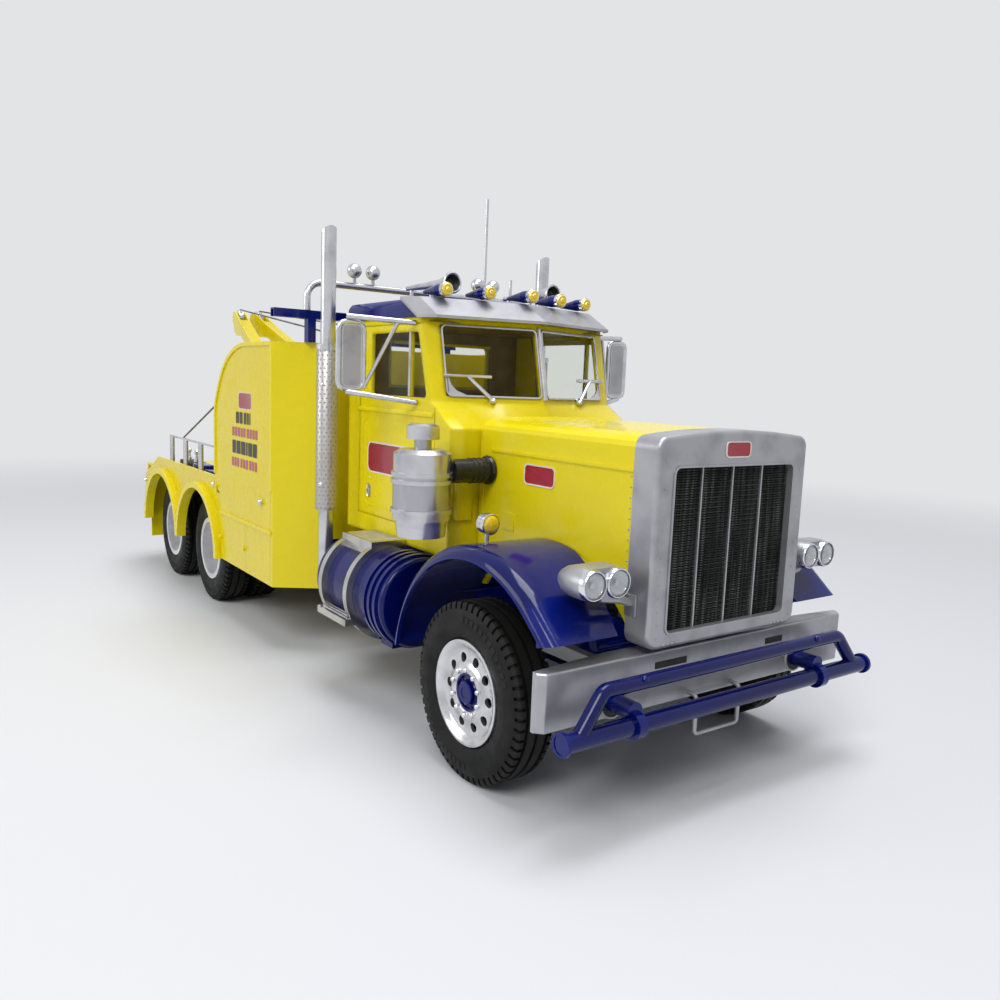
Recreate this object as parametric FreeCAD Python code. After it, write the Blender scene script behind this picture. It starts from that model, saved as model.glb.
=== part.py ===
import FreeCAD, Part
import math
import os

# A 1:25 scale model of a long-nose heavy tow truck with twin recovery booms.
# Lengths are millimetres of the model. x runs forward from the front axle,
# y to the truck's left and z up from the ground. Every piece is moved at the
# end so that the origin lies under the middle of the whole model.

V = FreeCAD.Vector

# Overall layout
parallel_share = 0.01
rear_reach = 279.0
mid_axle_x = -189.2
rear_axle_x = -242.0
body_half_width = 51.1
skin = 1.1
thin_skin = 0.8
running_gap = 0.05
seat_gap = 0.3
overrun = 5.0
fine_edge = 0.5

# Wheels and tyres
tyre_radius = 21.1
tyre_width = 11.2
tyre_bead_radius = 11.5
rim_flange_radius = 12.4
rim_flange_width = 0.9
front_tyre_y = 42.3
dual_outer_y = 41.6
dual_spacing = 13.0
rim_wall = 0.9
wheel_disc = 1.0
hub_radius = 4.3
hand_hole_radius = 1.25
hand_hole_circle = 9.0
hand_holes = 10
lug_radius = 0.55
lug_height = 0.9
lug_circle = 6.2
axle_stub_radius = 1.6

# Chassis
rail_outer_y = 17.3
rail_flange = 3.4
rail_top = 39.0
rail_depth = 10.4
rail_web = 1.0
rail_front_x = 26.3
rail_rear_x = -272.0
crossmember = 2.4
crossmember_x = (22.0, -61.0, -104.0, -150.0, -215.6, -262.0)

# Front bumper and push bumper
bumper_face_x = 31.6
bumper_half_width = 50.6
bumper_low = 22.9
bumper_top = 35.4
bumper_flange = 5.2
bumper_flange_half = 30.0
bumper_hole_radius = 2.1
bumper_bracket_y = 31.0
strut_z = 26.4
push_tube_x = 38.3
push_tube_z = 23.6
push_tube_radius = 2.0
push_tube_half = 50.5
push_upper_x = 37.6
push_upper_z = 32.2
push_upper_half = 39.5
push_upper_radius = 1.6

# Hood, grille shell and front fenders, one tilting front end
hood_half_width = 24.1
hood_rear_x = -30.6
hood_bead_z = 74.6
hood_side_top = 79.6
hood_top = 83.1
hood_low = 37.6
shell_back_x = 27.6
shell_front_x = 34.6
shell_half_width = 24.9
shell_low = 36.9
shell_corner_z = 82.3
shell_top = 83.6
shell_corner_radius = 2.8
grille_half_width = 20.2
grille_low = 39.8
grille_top = 76.2
grille_ribs = 44
tilt_x = 32.0
tilt_z = 36.2
arch_x = 1.2
arch_z = 20.0
fender_radius = 35.3
fender_half_width = 48.4
fender_lip = 3.1
fender_front_z = 40.6
fender_rear_z = 23.4

# Cab
cab_rear_x = -92.5
cab_half_width = 32.6
pillar_set = 1.3
cab_floor = 45.0
cowl_x = -31.2
cowl_z = 79.5
belt_z = 86.4
eave_z = 109.0
roof_rise = 6.0
roof_top = eave_z + roof_rise
pillar_width = 3.4
screen_half_width = cab_half_width - pillar_width
screen_low_centre_x = -34.4
screen_low_side_x = -42.6
screen_rake = 5.2

# Wrecker body
body_front_x = -99.5
body_corner_x = -109.5
box_width = 15.9
box_inner_y = body_half_width - box_width
box_low = 22.5
box_top = 102.3
box_rear_x = -168.3
box_round_x = -135.0
box_round_z = 72.0
box_step_x = -161.8
deck_top = 52.8
deck_floor_z = 48.0
deck_rear_x = -276.0
rear_arch_radius = 24.8


def block(x0, x1, y0, y1, z0, z1):
    low = V(min(x0, x1), min(y0, y1), min(z0, z1))
    size = V(abs(x1 - x0), abs(y1 - y0), abs(z1 - z0))
    return Part.makeBox(size.x, size.y, size.z, low)


def rod(radius, start, end):
    span = V(*end) - V(*start)
    return Part.makeCylinder(radius, span.Length, V(*start), span)


def prism(points, step):
    wire = Part.makePolygon([V(*p) for p in points] + [V(*points[0])])
    return Part.Face(wire).extrude(V(*step))


def side_plate(points, y0, y1):
    return prism([(x, y0, z) for x, z in points], (0, y1 - y0, 0))


def flat_plate(points, z0, z1):
    return prism([(x, y, z0) for x, y in points], (0, 0, z1 - z0))


def cross_plate(points, x0, x1):
    return prism([(x0, y, z) for y, z in points], (x1 - x0, 0, 0))


def turned(profile, origin, axis):
    wire = Part.makePolygon([V(a, 0, r) for a, r in profile + profile[:1]])
    solid = Part.Face(wire).revolve(V(0, 0, 0), V(1, 0, 0), 360)
    solid.Placement = FreeCAD.Placement(V(*origin), FreeCAD.Rotation(V(1, 0, 0), V(*axis)))
    return solid


def bent_rod(points, radius, bend):
    points = [V(*p) for p in points]
    edges = []
    last = points[0]
    for before, corner, after in zip(points, points[1:], points[2:]):
        inward = (before - corner).normalize()
        outward = (after - corner).normalize()
        half = inward.getAngle(outward) / 2
        back = bend / math.tan(half)
        first = corner + inward * back
        second = corner + outward * back
        middle_way = (inward + outward).normalize()
        middle = corner + middle_way * (bend / math.sin(half) - bend)
        edges.append(Part.makeLine(last, first))
        edges.append(Part.Arc(first, middle, second).toShape())
        last = second
    edges.append(Part.makeLine(last, points[-1]))
    start_way = points[1] - points[0]
    ring = Part.Wire(Part.makeCircle(radius, points[0], start_way))
    return Part.Wire(edges).makePipeShell([ring], True, False)


def mirrored(shape):
    return shape.mirror(V(0, 0, 0), V(0, 1, 0))


def both(shape):
    return [shape, mirrored(shape)]


def join(shapes):
    result = shapes[0]
    if len(shapes) > 1:
        result = result.fuse(shapes[1:])
    return result.removeSplitter()


def cut(shape, tools):
    return shape.cut(tools) if tools else shape


def round_edges(shape, radius, chosen):
    edges = [edge for edge in shape.Edges if chosen(edge)]
    return shape.makeFillet(radius, edges)


def along(edge, way):
    if not isinstance(edge.Curve, Part.Line):
        return False
    return edge.tangentAt(edge.FirstParameter).cross(V(*way)).Length < parallel_share


def export(name, shapes):
    shapes = shapes if isinstance(shapes, list) else [shapes]
    solids = [solid for shape in shapes for solid in shape.Solids]
    compound = Part.makeCompound(solids)
    compound.translate(V((rear_reach - push_tube_x - collar_radius) / 2, 0, 0))
    compound.exportStep("parts/" + name + ".step")



# Wheels

tyre_steps = 36
tyre_side_shares = ((0.72, 0.0), (0.72, 0.11), (1.0, 0.46), (0.84, 1.0))
notch_side_shares = ((0.72, 0.0), (0.72, 0.11), (1.0, 0.46), (0.80, 0.975))


def tyre_ring(x, centre_y, n):
    # One slice of the tyre; every second slice is notched at its shoulders.
    half = tyre_width / 2
    height = tyre_radius - tyre_bead_radius
    shares = notch_side_shares if n % 2 else tyre_side_shares
    side = [(half * w, tyre_bead_radius + height * h) for w, h in shares]
    side[0] = (side[0][0], (tyre_bead_radius + running_gap) / math.cos(math.pi / tyre_steps))
    turn = 2 * math.pi * n / tyre_steps
    profile = side + [(-a, r) for a, r in reversed(side)]
    return [V(x + r * math.sin(turn), centre_y + a, tyre_radius - r * math.cos(turn)) for a, r in profile]


def tyre(x, centre_y):
    rings = [tyre_ring(x, centre_y, n) for n in range(tyre_steps)]
    facets = []
    for n in range(tyre_steps):
        here, there = rings[n], rings[(n + 1) % tyre_steps]
        for k in range(len(here)):
            a, b = here[k], here[(k + 1) % len(here)]
            c, d = there[(k + 1) % len(here)], there[k]
            for corners in ((a, b, c), (a, c, d)):
                facets.append(Part.Face(Part.makePolygon(list(corners) + [a])))
    solid = Part.makeSolid(Part.makeShell(facets))
    if solid.Volume < 0:
        solid.reverse()
    return solid


def rim(x, centre_y, outward, disc_place, dish, plain=False):
    half = tyre_width * rim_width_share / 2
    flange = half + rim_flange_width
    bead = tyre_bead_radius - running_gap
    inner = bead - rim_wall
    centre = (x, centre_y, tyre_radius)
    barrel = turned([(-flange, inner), (-flange, rim_flange_radius), (-half, rim_flange_radius),
                     (-half, bead),
                     (half, bead), (half, rim_flange_radius), (flange, rim_flange_radius),
                     (flange, inner)],
                    centre, (0, 1, 0))
    front = disc_place
    slope = disc_place - dish
    disc = turned([(front, hub_bore), (front, lug_circle + lug_radius * 2), (slope, inner + fine_edge),
                   (slope - wheel_disc, inner + fine_edge),
                   (front - wheel_disc, lug_circle + lug_radius * 2),
                   (front - wheel_disc, hub_bore)], centre, (0, outward, 0))
    if plain:
        return join([barrel, disc])
    tools = []
    for n in range(hand_holes):
        turn = 2 * math.pi * n / hand_holes
        hx = x + hand_hole_circle * math.cos(turn)
        hz = tyre_radius + hand_hole_circle * math.sin(turn)
        tools.append(rod(hand_hole_radius, (hx, centre_y - half, hz), (hx, centre_y + half, hz)))
    disc = disc.cut(tools)
    lugs = []
    for n in range(hand_holes):
        turn = 2 * math.pi * (n + lug_phase_share) / hand_holes
        lx = x + lug_circle * math.cos(turn)
        lz = tyre_radius + lug_circle * math.sin(turn)
        seat = centre_y + outward * (front - wheel_disc / 2)
        lugs.append(rod(lug_radius, (lx, seat, lz), (lx, seat + outward * lug_height, lz)))
    return join([barrel, disc] + lugs)


def hub(x, centre_y, outward, foot, tip):
    near = centre_y + outward * foot
    body = rod(hub_radius, (x, near, tyre_radius),
               (x, centre_y + outward * (tip - hub_step), tyre_radius))
    cap = rod(hub_cap_radius, (x, near, tyre_radius), (x, centre_y + outward * tip, tyre_radius))
    return body.fuse(cap)


rim_width_share = 0.75
lug_phase_share = 0.5
front_dish = 2.2
rear_dish = 0.8
hub_bore = 3.6
hub_cap_radius = 2.5
hub_step = 1.6
front_disc_place = 3.6
rear_disc_place = -3.2
hub_reach = 5.4


def front_wheels():
    for side, name in ((-1, "right"), (1, "left")):
        y = side * front_tyre_y
        wheel = rim(0, y, side, front_disc_place, front_dish)
        middle = hub(0, y, side, -front_disc_place, hub_reach)
        bore = rod(axle_stub_radius + running_gap, (0, y - side * overrun * 2, tyre_radius),
                   (0, y + side * stub_reach, tyre_radius))
        export("front_rim_" + name, join([wheel, middle]).cut(bore))
        export("front_tyre_" + name, tyre(0, y))


stub_reach = 3.0


def rear_wheels():
    for x, place in ((mid_axle_x, "mid"), (rear_axle_x, "rear")):
        for side, name in ((-1, "right"), (1, "left")):
            outer = side * dual_outer_y
            inner = side * (dual_outer_y - dual_spacing)
            pair = [rim(x, outer, side, rear_disc_place, rear_dish),
                    rim(x, inner, -side, rear_disc_place, rear_dish, True)]
            middle = hub(x, outer, side, -dual_spacing, hub_out)
            bore = rod(axle_stub_radius + running_gap, (x, outer - side * dual_spacing * 2, tyre_radius),
                       (x, outer - side * stub_reach, tyre_radius))
            export(place + "_rims_" + name, join(pair + [middle]).cut(bore))
            export(place + "_tyres_" + name, [tyre(x, outer), tyre(x, inner)])


hub_out = -0.5


# Chassis, axles and drive line

engine_box = (-27.0, 16.0, 10.5, 27.0, 68.0)
gearbox_radius = 6.2
gearbox_rear_x = -58.0
radiator_box = (20.0, 25.5, 19.0, 40.2, 74.0)
sump_half_width = 6.0
sump_low = 22.0
kingpin_y = 33.4
kingpin_radius = 1.1
kingpin_reach = 4.6
beam_half_height = 1.6
beam_half_width = 1.5
beam_drop = 2.6
spring_y = 15.6
spring_half_width = 1.5
spring_leaf = 0.55
spring_leaves = 4
spring_half_length = 22.0
housing_radius = 2.6
bowl_radius = 5.6
bowl_half_width = 3.6
bogie_radius = 2.1
shaft_radius = 1.7


def rail(side):
    top_outer = side * rail_outer_y
    inner = side * (rail_outer_y - rail_flange)
    web = side * (rail_outer_y - rail_web)
    low = rail_top - rail_depth
    outline = [(top_outer, low), (top_outer, rail_top), (inner, rail_top), (inner, rail_top - rail_web),
               (web, rail_top - rail_web), (web, low + rail_web), (inner, low + rail_web), (inner, low)]
    return cross_plate(outline, rail_rear_x, rail_front_x)


def chassis_frame():
    web = rail_outer_y - rail_web
    pieces = [rail(-1), rail(1)]
    for x in crossmember_x:
        pieces.append(block(x - crossmember / 2, x + crossmember / 2, -web, web,
                            rail_top - rail_depth + rail_web, rail_top - rail_web))
    export("chassis_frame", join(pieces).cut(drive_shafts(shaft_radius + seat_gap)))


def drive_shafts(radius):
    pinion_z = tyre_radius + bogie_radius
    ends = [(rear_axle_x, 0, pinion_z), (mid_axle_x, 0, pinion_z),
            (gearbox_rear_x - seat_gap, 0, rail_top - rail_depth / 2)]
    return join([rod(radius, ends[0], ends[1]), rod(radius, ends[1], ends[2])])


def engine():
    back, front, half, low, top = engine_box
    block_piece = block(back, front, -half, half, low, top)
    sump = block(back, front - half, -sump_half_width, sump_half_width, sump_low, low)
    bell_z = rail_top - rail_depth / 2
    gearbox = rod(gearbox_radius, (back, 0, bell_z), (gearbox_rear_x, 0, bell_z))
    cool_back, cool_front, cool_half, cool_low, cool_top = radiator_box
    fan_hub = rod(hub_radius, (front, 0, bell_z + gearbox_radius),
                  (cool_back, 0, bell_z + gearbox_radius))
    radiator = block(cool_back, cool_front, -cool_half, cool_half, cool_low, cool_top)
    foot = block(cool_back, cool_front, -rail_outer_y, rail_outer_y, rail_top, cool_low)
    export("engine", join([block_piece, sump, gearbox, fan_hub, radiator, foot]))


def leaf_spring(x, y, z, half_length):
    leaves = []
    for n in range(spring_leaves):
        reach = half_length * (1 - n / (spring_leaves + 1))
        low = z - n * spring_leaf
        leaves.append(block(x - reach, x + reach, y - spring_half_width, y + spring_half_width,
                            low - spring_leaf, low))
    return join(leaves)


def front_axle():
    beam_z = tyre_radius - beam_drop
    beam = block(-beam_half_width, beam_half_width, -kingpin_y, kingpin_y,
                 beam_z - beam_half_height, beam_z + beam_half_height)
    pieces = [beam]
    spring_z = beam_z + beam_half_height + spring_leaves * spring_leaf
    for side in (-1, 1):
        eye = rod(kingpin_radius * 2, (0, side * kingpin_y, beam_z - beam_half_height),
                  (0, side * kingpin_y, beam_z + beam_half_height))
        pin = rod(kingpin_radius, (0, side * kingpin_y, beam_z - kingpin_reach),
                  (0, side * kingpin_y, beam_z + kingpin_reach))
        spring = leaf_spring(0, side * spring_y, spring_z, spring_half_length)
        pieces += [eye, pin, spring]
        for way in (-1, 1):
            x = way * (spring_half_length - spring_half_width)
            pieces.append(block(x - spring_half_width, x + spring_half_width,
                                side * spring_y - spring_half_width,
                                side * spring_y + spring_half_width, spring_z - spring_leaf,
                                rail_top - rail_depth))
    export("front_axle", join(pieces))


def knuckles():
    beam_z = tyre_radius - beam_drop
    for side, name in ((-1, "right"), (1, "left")):
        y = side * kingpin_y
        fork_low = rod(kingpin_radius * 2, (0, y, beam_z - kingpin_reach),
                       (0, y, beam_z - beam_half_height - running_gap * 2))
        fork_high = rod(kingpin_radius * 2, (0, y, beam_z + beam_half_height + running_gap * 2),
                        (0, y, beam_z + kingpin_reach + fine_edge))
        back = block(-kingpin_radius, kingpin_radius, y + side * (kingpin_radius * 2 + running_gap * 2),
                     y + side * knuckle_reach, beam_z - kingpin_reach, beam_z + kingpin_reach + fine_edge)
        webs = [block(-kingpin_radius, kingpin_radius, y, y + side * knuckle_reach, z0, z1) for z0, z1 in
                ((beam_z - kingpin_reach, beam_z - beam_half_height - running_gap * 2),
                 (beam_z + beam_half_height + running_gap * 2, beam_z + kingpin_reach + fine_edge))]
        stub = rod(axle_stub_radius, (0, y + side * (kingpin_radius * 2 + running_gap * 2), tyre_radius),
                   (0, side * (front_tyre_y + stub_reach - fine_edge), tyre_radius))
        arm = block(-steering_arm - kingpin_radius, 0, y - kingpin_radius, y + kingpin_radius,
                    beam_z - kingpin_reach, beam_z - kingpin_reach + arm_thickness)
        pin_hole = rod(kingpin_radius + running_gap, (0, y, beam_z - kingpin_reach - overrun),
                       (0, y, beam_z + kingpin_reach + overrun))
        tie_hole = rod(tie_pin_radius + running_gap, (-steering_arm, y, beam_z - kingpin_reach - overrun),
                       (-steering_arm, y, beam_z))
        body = join([fork_low, fork_high, back, stub, arm] + webs).cut([pin_hole, tie_hole])
        export("knuckle_" + name, body)
    rod_z = beam_z - kingpin_reach - tie_rod_radius - running_gap * 2
    ends = kingpin_y
    pieces = [rod(tie_rod_radius, (-steering_arm, -ends, rod_z), (-steering_arm, ends, rod_z))]
    for side in (-1, 1):
        pieces.append(rod(tie_pin_radius, (-steering_arm, side * ends, rod_z),
                          (-steering_arm, side * ends, beam_z - kingpin_reach + arm_thickness)))
    export("tie_rod", join(pieces))


knuckle_reach = 3.6
steering_arm = 6.6
arm_thickness = 1.1
tie_pin_radius = 0.6
tie_rod_radius = 0.8


def rear_axles():
    pieces = []
    end = dual_outer_y - stub_reach - fine_edge
    for x in (mid_axle_x, rear_axle_x):
        pieces.append(rod(axle_stub_radius, (x, -end, tyre_radius), (x, end, tyre_radius)))
        reach = dual_outer_y - dual_spacing - tyre_width
        pieces.append(rod(housing_radius, (x, -reach, tyre_radius), (x, reach, tyre_radius)))
        pieces.append(rod(bowl_radius, (x, -bowl_half_width, tyre_radius),
                          (x, bowl_half_width, tyre_radius)))
    middle = (mid_axle_x + rear_axle_x) / 2
    low = rail_top - rail_depth
    for side in (-1, 1):
        y = side * spring_y
        beam = [(mid_axle_x, tyre_radius - bogie_radius), (middle, tyre_radius - bogie_radius * 2),
                (rear_axle_x, tyre_radius - bogie_radius), (rear_axle_x, tyre_radius + bogie_radius),
                (middle, tyre_radius + bogie_radius / 2), (mid_axle_x, tyre_radius + bogie_radius)]
        pieces.append(side_plate(beam, y - spring_half_width, y + spring_half_width))
        pieces.append(block(middle - bogie_radius * 2, middle + bogie_radius * 2, y - spring_half_width,
                            y + spring_half_width, tyre_radius - bogie_radius, low))
    pieces.append(drive_shafts(shaft_radius))
    export("rear_axles", join(pieces))


# Front bumper and push bumper

bumper_end = 1.4
collar_radius = 2.9
collar_length = 2.2
loop_x = 33.8
loop_half = 7.3
loop_drop = 7.9
loop_radius = 0.5
loop_bend = 1.0
push_bend = 2.6


def front_bumper():
    face = bumper_face_x
    half = bumper_half_width
    ear = [(face, -half + bumper_end), (face - bumper_end, -half), (face - bumper_end * 2, -half),
           (face - bumper_flange, -bumper_flange_half)]
    outline = ear + [(x, -y) for x, y in reversed(ear)]
    body = flat_plate(outline, bumper_low, bumper_top)
    body = round_edges(body, fine_edge, lambda e: e.BoundBox.XMin > face - bumper_end - fine_edge)
    inside = [(face - skin, -half + bumper_end + skin), (face - bumper_end - skin, -half + skin),
              (face - bumper_flange - overrun, -half + skin)]
    inside = inside + [(x, -y) for x, y in reversed(inside)]
    body = body.cut(flat_plate(inside, bumper_low + skin, bumper_top - skin))
    tools = []
    for side in (-1, 1):
        y = side * bumper_bracket_y
        tools.append(rod(bumper_hole_radius, (face - overrun, y, strut_z), (face + overrun, y, strut_z)))
    low_z = bumper_low - loop_drop
    eye_z = bumper_low + skin
    loop = bent_rod([(face - skin, -loop_half, eye_z), (loop_x, -loop_half, eye_z),
                     (loop_x, -loop_half, low_z),
                     (loop_x, loop_half, low_z), (loop_x, loop_half, eye_z),
                     (face - skin, loop_half, eye_z)],
                    loop_radius, loop_bend)
    export("front_bumper", body.cut(tools).fuse(loop))


def push_bumper():
    z = push_tube_z
    lower = rod(push_tube_radius, (push_tube_x, -push_tube_half, z), (push_tube_x, push_tube_half, z))
    low_end = push_tube_half - push_tube_radius * 2
    upper = bent_rod([(push_tube_x, -low_end, z), (push_upper_x, -push_upper_half, push_upper_z),
                      (push_upper_x, push_upper_half, push_upper_z), (push_tube_x, low_end, z)],
                     push_upper_radius, push_bend)
    pieces = [lower, upper]
    for side in (-1, 1):
        y = side * bumper_bracket_y
        pieces.append(rod(bumper_hole_radius - running_gap, (rail_front_x, y, strut_z),
                          (push_tube_x, y, strut_z)))
        pieces.append(rod(collar_radius, (push_tube_x, y - collar_length / 2, z),
                          (push_tube_x, y + collar_length / 2, z)))
    export("push_bumper", join(pieces))


# Tilting front end

hood_corner_shares = ((1.0, 0.0), (0.985, 0.32), (0.94, 0.60), (0.86, 0.80), (0.60, 0.94), (0.0, 1.0))
bead_height = 0.7
bead_out = 0.4
hood_wall = 1.0


def hood_section(inset):
    half = hood_half_width - inset
    rise = hood_top - hood_side_top
    return [(half, hood_low)] + [(half * w, hood_side_top - inset + rise * h) for w,
                                 h in hood_corner_shares]


def hood_solid(inset, x0, x1):
    half = hood_section(inset)
    outline = half + [(-y, z) for y, z in reversed(half[:-1])]
    return cross_plate(outline, x0, x1)


def hood():
    outer = hood_solid(0, hood_rear_x, shell_back_x - running_gap)
    inner = hood_solid(hood_wall, hood_rear_x - overrun, shell_back_x + overrun)
    bottom = block(hood_rear_x - overrun, shell_back_x + overrun, -hood_half_width - overrun,
                   hood_half_width + overrun, 0, hood_low + hood_wall)
    shell = outer.cut([inner, bottom])
    wheel_gap = rod(fender_radius - hood_wall * 2, (arch_x, -hood_half_width - overrun, arch_z),
                    (arch_x, hood_half_width + overrun, arch_z))
    rear_low = block(hood_rear_x - overrun, arch_x, -hood_half_width - overrun, hood_half_width + overrun,
                     0, arch_z + fender_radius / 2)
    shell = shell.cut([wheel_gap, rear_low])
    pieces = [shell]
    for side in (-1, 1):
        y = side * hood_half_width
        pieces.append(block(hood_rear_x + overrun, shell_back_x - fine_edge, y - side * fine_edge,
                            y + side * bead_out,
                            hood_bead_z - bead_height / 2, hood_bead_z + bead_height / 2))
    export("hood", join(pieces))


def shell_outline(inset):
    half = shell_half_width - inset
    low = shell_low + inset
    corner = shell_corner_z - inset
    top = shell_top - inset
    radius = max(shell_corner_radius - inset, fine_edge)
    lean = radius * (1 - math.sqrt(2) / 2)
    edges = []

    low_r = shell_low_radius - min(inset, shell_low_radius / 2)
    low_lean = low_r * (1 - math.sqrt(2) / 2)
    shoulder = corner + (top - corner) * (radius / half)
    edges.append(Part.makeLine(V(0, -half + low_r, low), V(0, half - low_r, low)))
    edges.append(Part.Arc(V(0, half - low_r, low), V(0, half - low_lean, low + low_lean),
                          V(0, half, low + low_r)).toShape())
    edges.append(Part.makeLine(V(0, half, low + low_r), V(0, half, corner - radius)))
    edges.append(Part.Arc(V(0, half, corner - radius), V(0, half - lean, corner - lean),
                          V(0, half - radius, corner)).toShape())
    edges.append(Part.Arc(V(0, half - radius, corner), V(0, 0, top),
                          V(0, -half + radius, corner)).toShape())
    edges.append(Part.Arc(V(0, -half + radius, corner), V(0, -half + lean, corner - lean),
                          V(0, -half, corner - radius)).toShape())
    edges.append(Part.makeLine(V(0, -half, corner - radius), V(0, -half, low + low_r)))
    edges.append(Part.Arc(V(0, -half, low + low_r), V(0, -half + low_lean, low + low_lean),
                          V(0, -half + low_r, low)).toShape())
    return Part.Face(Part.Wire(edges))


shell_low_radius = 3.0
shell_face_round = 1.0


def shell_solid(inset, x0, x1):
    face = shell_outline(inset)
    face.translate(V(x0, 0, 0))
    return face.extrude(V(x1 - x0, 0, 0))


def grille_hole(inset, x0, x1):
    half = grille_half_width - inset
    plate = block(x0, x1, -half, half, grille_low + inset, grille_top - inset)
    return round_edges(plate, grille_corner - inset, lambda e: along(e, (1, 0, 0)))


grille_corner = 1.8
grille_recess = 1.6
grille_backing = 0.8


def grille_shell():
    body = shell_solid(0, shell_back_x, shell_front_x)
    body = round_edges(body, shell_face_round, lambda e: e.BoundBox.XMin > shell_front_x - fine_edge / 2)
    hollow = shell_solid(skin, shell_back_x - overrun, shell_front_x - skin)
    opening = grille_hole(0, shell_front_x - overrun, shell_front_x + overrun)
    export("grille_shell", body.cut([hollow, opening]))


def grille():
    face_x = shell_front_x - grille_recess
    wide = grille_half_width - running_gap
    plate = grille_hole(running_gap, face_x - grille_backing * 2, face_x - grille_backing)
    pitch = wide * 2 / grille_ribs
    points = [(face_x - grille_backing, -wide)]
    for n in range(grille_ribs):
        left = -wide + pitch * n
        points += [(face_x - grille_backing, left + pitch * rib_gap_share),
                   (face_x, left + pitch * rib_gap_share),
                   (face_x, left + pitch * (1 - rib_gap_share)),
                   (face_x - grille_backing, left + pitch * (1 - rib_gap_share))]
    points += [(face_x - grille_backing, wide), (face_x - grille_backing * 2, wide),
               (face_x - grille_backing * 2, -wide)]
    ribs = flat_plate(points, grille_low + grille_corner, grille_top - grille_corner)
    bars = []
    for share in (-0.5, 0, 0.5):
        y = share * wide
        bars.append(block(face_x - grille_backing, face_x + grille_bar, y - grille_bar / 2,
                          y + grille_bar / 2,
                          grille_low + running_gap, grille_top - running_gap))
    export("grille", join([plate, ribs] + bars))


rib_gap_share = 0.25
grille_bar = 0.6


def fender_face(inset, drop):
    radius = fender_radius - inset
    start = math.asin((fender_rear_z - arch_z) / radius)
    stop = math.radians(fender_tangent_degrees)
    rear = V(arch_x - radius * math.cos(start), 0, fender_rear_z)
    top = V(arch_x, 0, arch_z + radius)
    front = V(arch_x + radius * math.cos(stop), 0, arch_z + radius * math.sin(stop))
    fall = (front.z - fender_front_z) / math.cos(stop)
    nose = front + V(math.sin(stop), 0, -math.cos(stop)) * fall
    edges = [Part.Arc(rear, top, front).toShape(), Part.makeLine(front, nose)]
    if drop:
        low_front = V(nose.x, 0, nose.z - drop)
        low_rear = V(rear.x, 0, rear.z - drop)
        edges += [Part.makeLine(nose, low_front), Part.makeLine(low_front, low_rear),
                  Part.makeLine(low_rear, rear)]
    else:
        edges.append(Part.makeLine(nose, rear))
    return Part.Face(Part.Wire(edges))


fender_tangent_degrees = 50.0
fender_edge_round = 3.4
fender_inner_y = 24.6
fender_front_inner_y = 33.0
fender_cut_x = 10.0
strut_radius = 0.8
strut_bend = 2.0
rear_strut_x = -29.0
rear_strut_z = 37.2
front_strut_x = 24.4
front_strut_y = 30.5
front_strut_z = 35.9
fender_foot = (29.2, -36.0, 42.0)


def front_fenders():
    width = fender_half_width - fender_inner_y
    outer = fender_face(0, 0)
    outer.translate(V(0, -fender_half_width, 0))
    outer = outer.extrude(V(0, width, 0))
    chord = [e for e in outer.Edges if abs(e.BoundBox.YMin + fender_half_width) < fine_edge
             and abs(e.BoundBox.YMax + fender_half_width) < fine_edge and not (e.BoundBox.ZMin < fender_front_z
             and e.BoundBox.XLength > fender_radius and isinstance(e.Curve, Part.Line))]
    outer = outer.makeFillet(fender_edge_round, chord)
    inner = fender_face(skin, overrun)
    inner.translate(V(0, -fender_half_width + skin, 0))
    inner = inner.extrude(V(0, width + overrun, 0))
    opening = fender_face(fender_lip, overrun)
    opening.translate(V(0, -fender_half_width - overrun, 0))
    opening = opening.extrude(V(0, width, 0))
    corner = flat_plate([(fender_cut_x, -fender_inner_y + overrun), (fender_cut_x, -fender_inner_y),
                         (fender_radius + overrun, -fender_front_inner_y),
                         (fender_radius + overrun, -fender_inner_y + overrun)],
                        0, roof_top)
    fender = outer.cut([inner, opening, corner])
    rear_strut = rod(strut_radius, (rear_strut_x, -rail_outer_y - running_gap, rear_strut_z),
                     (rear_strut_x, -fender_inner_y - overrun, rear_strut_z))
    front_strut = bent_rod([(front_strut_x, -rail_outer_y - running_gap, front_strut_z),
                            (front_strut_x, -front_strut_y, front_strut_z), fender_foot], strut_radius,
                           strut_bend)
    export("front_fenders", both(join([fender, rear_strut, front_strut])))


lamp_pod_y = 35.7
lamp_pod_z = 52.3
lamp_pod_front = 32.6
lamp_pod_back = 22.5
lamp_spread = 4.0
lamp_pod_radius = 3.6
lamp_lens_radius = 3.1
lamp_recess = 0.7
lamp_stem_radius = 1.0
lamp_stem_bend = 1.5
lamp_stem_x = 29.4
turn_lamp_radius = 2.4
turn_lamp_length = 2.6
turn_lamp_x = -8.0
turn_lamp_y = 37.0
turn_lamp_z = 58.6
stem_radius = 0.6


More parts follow.
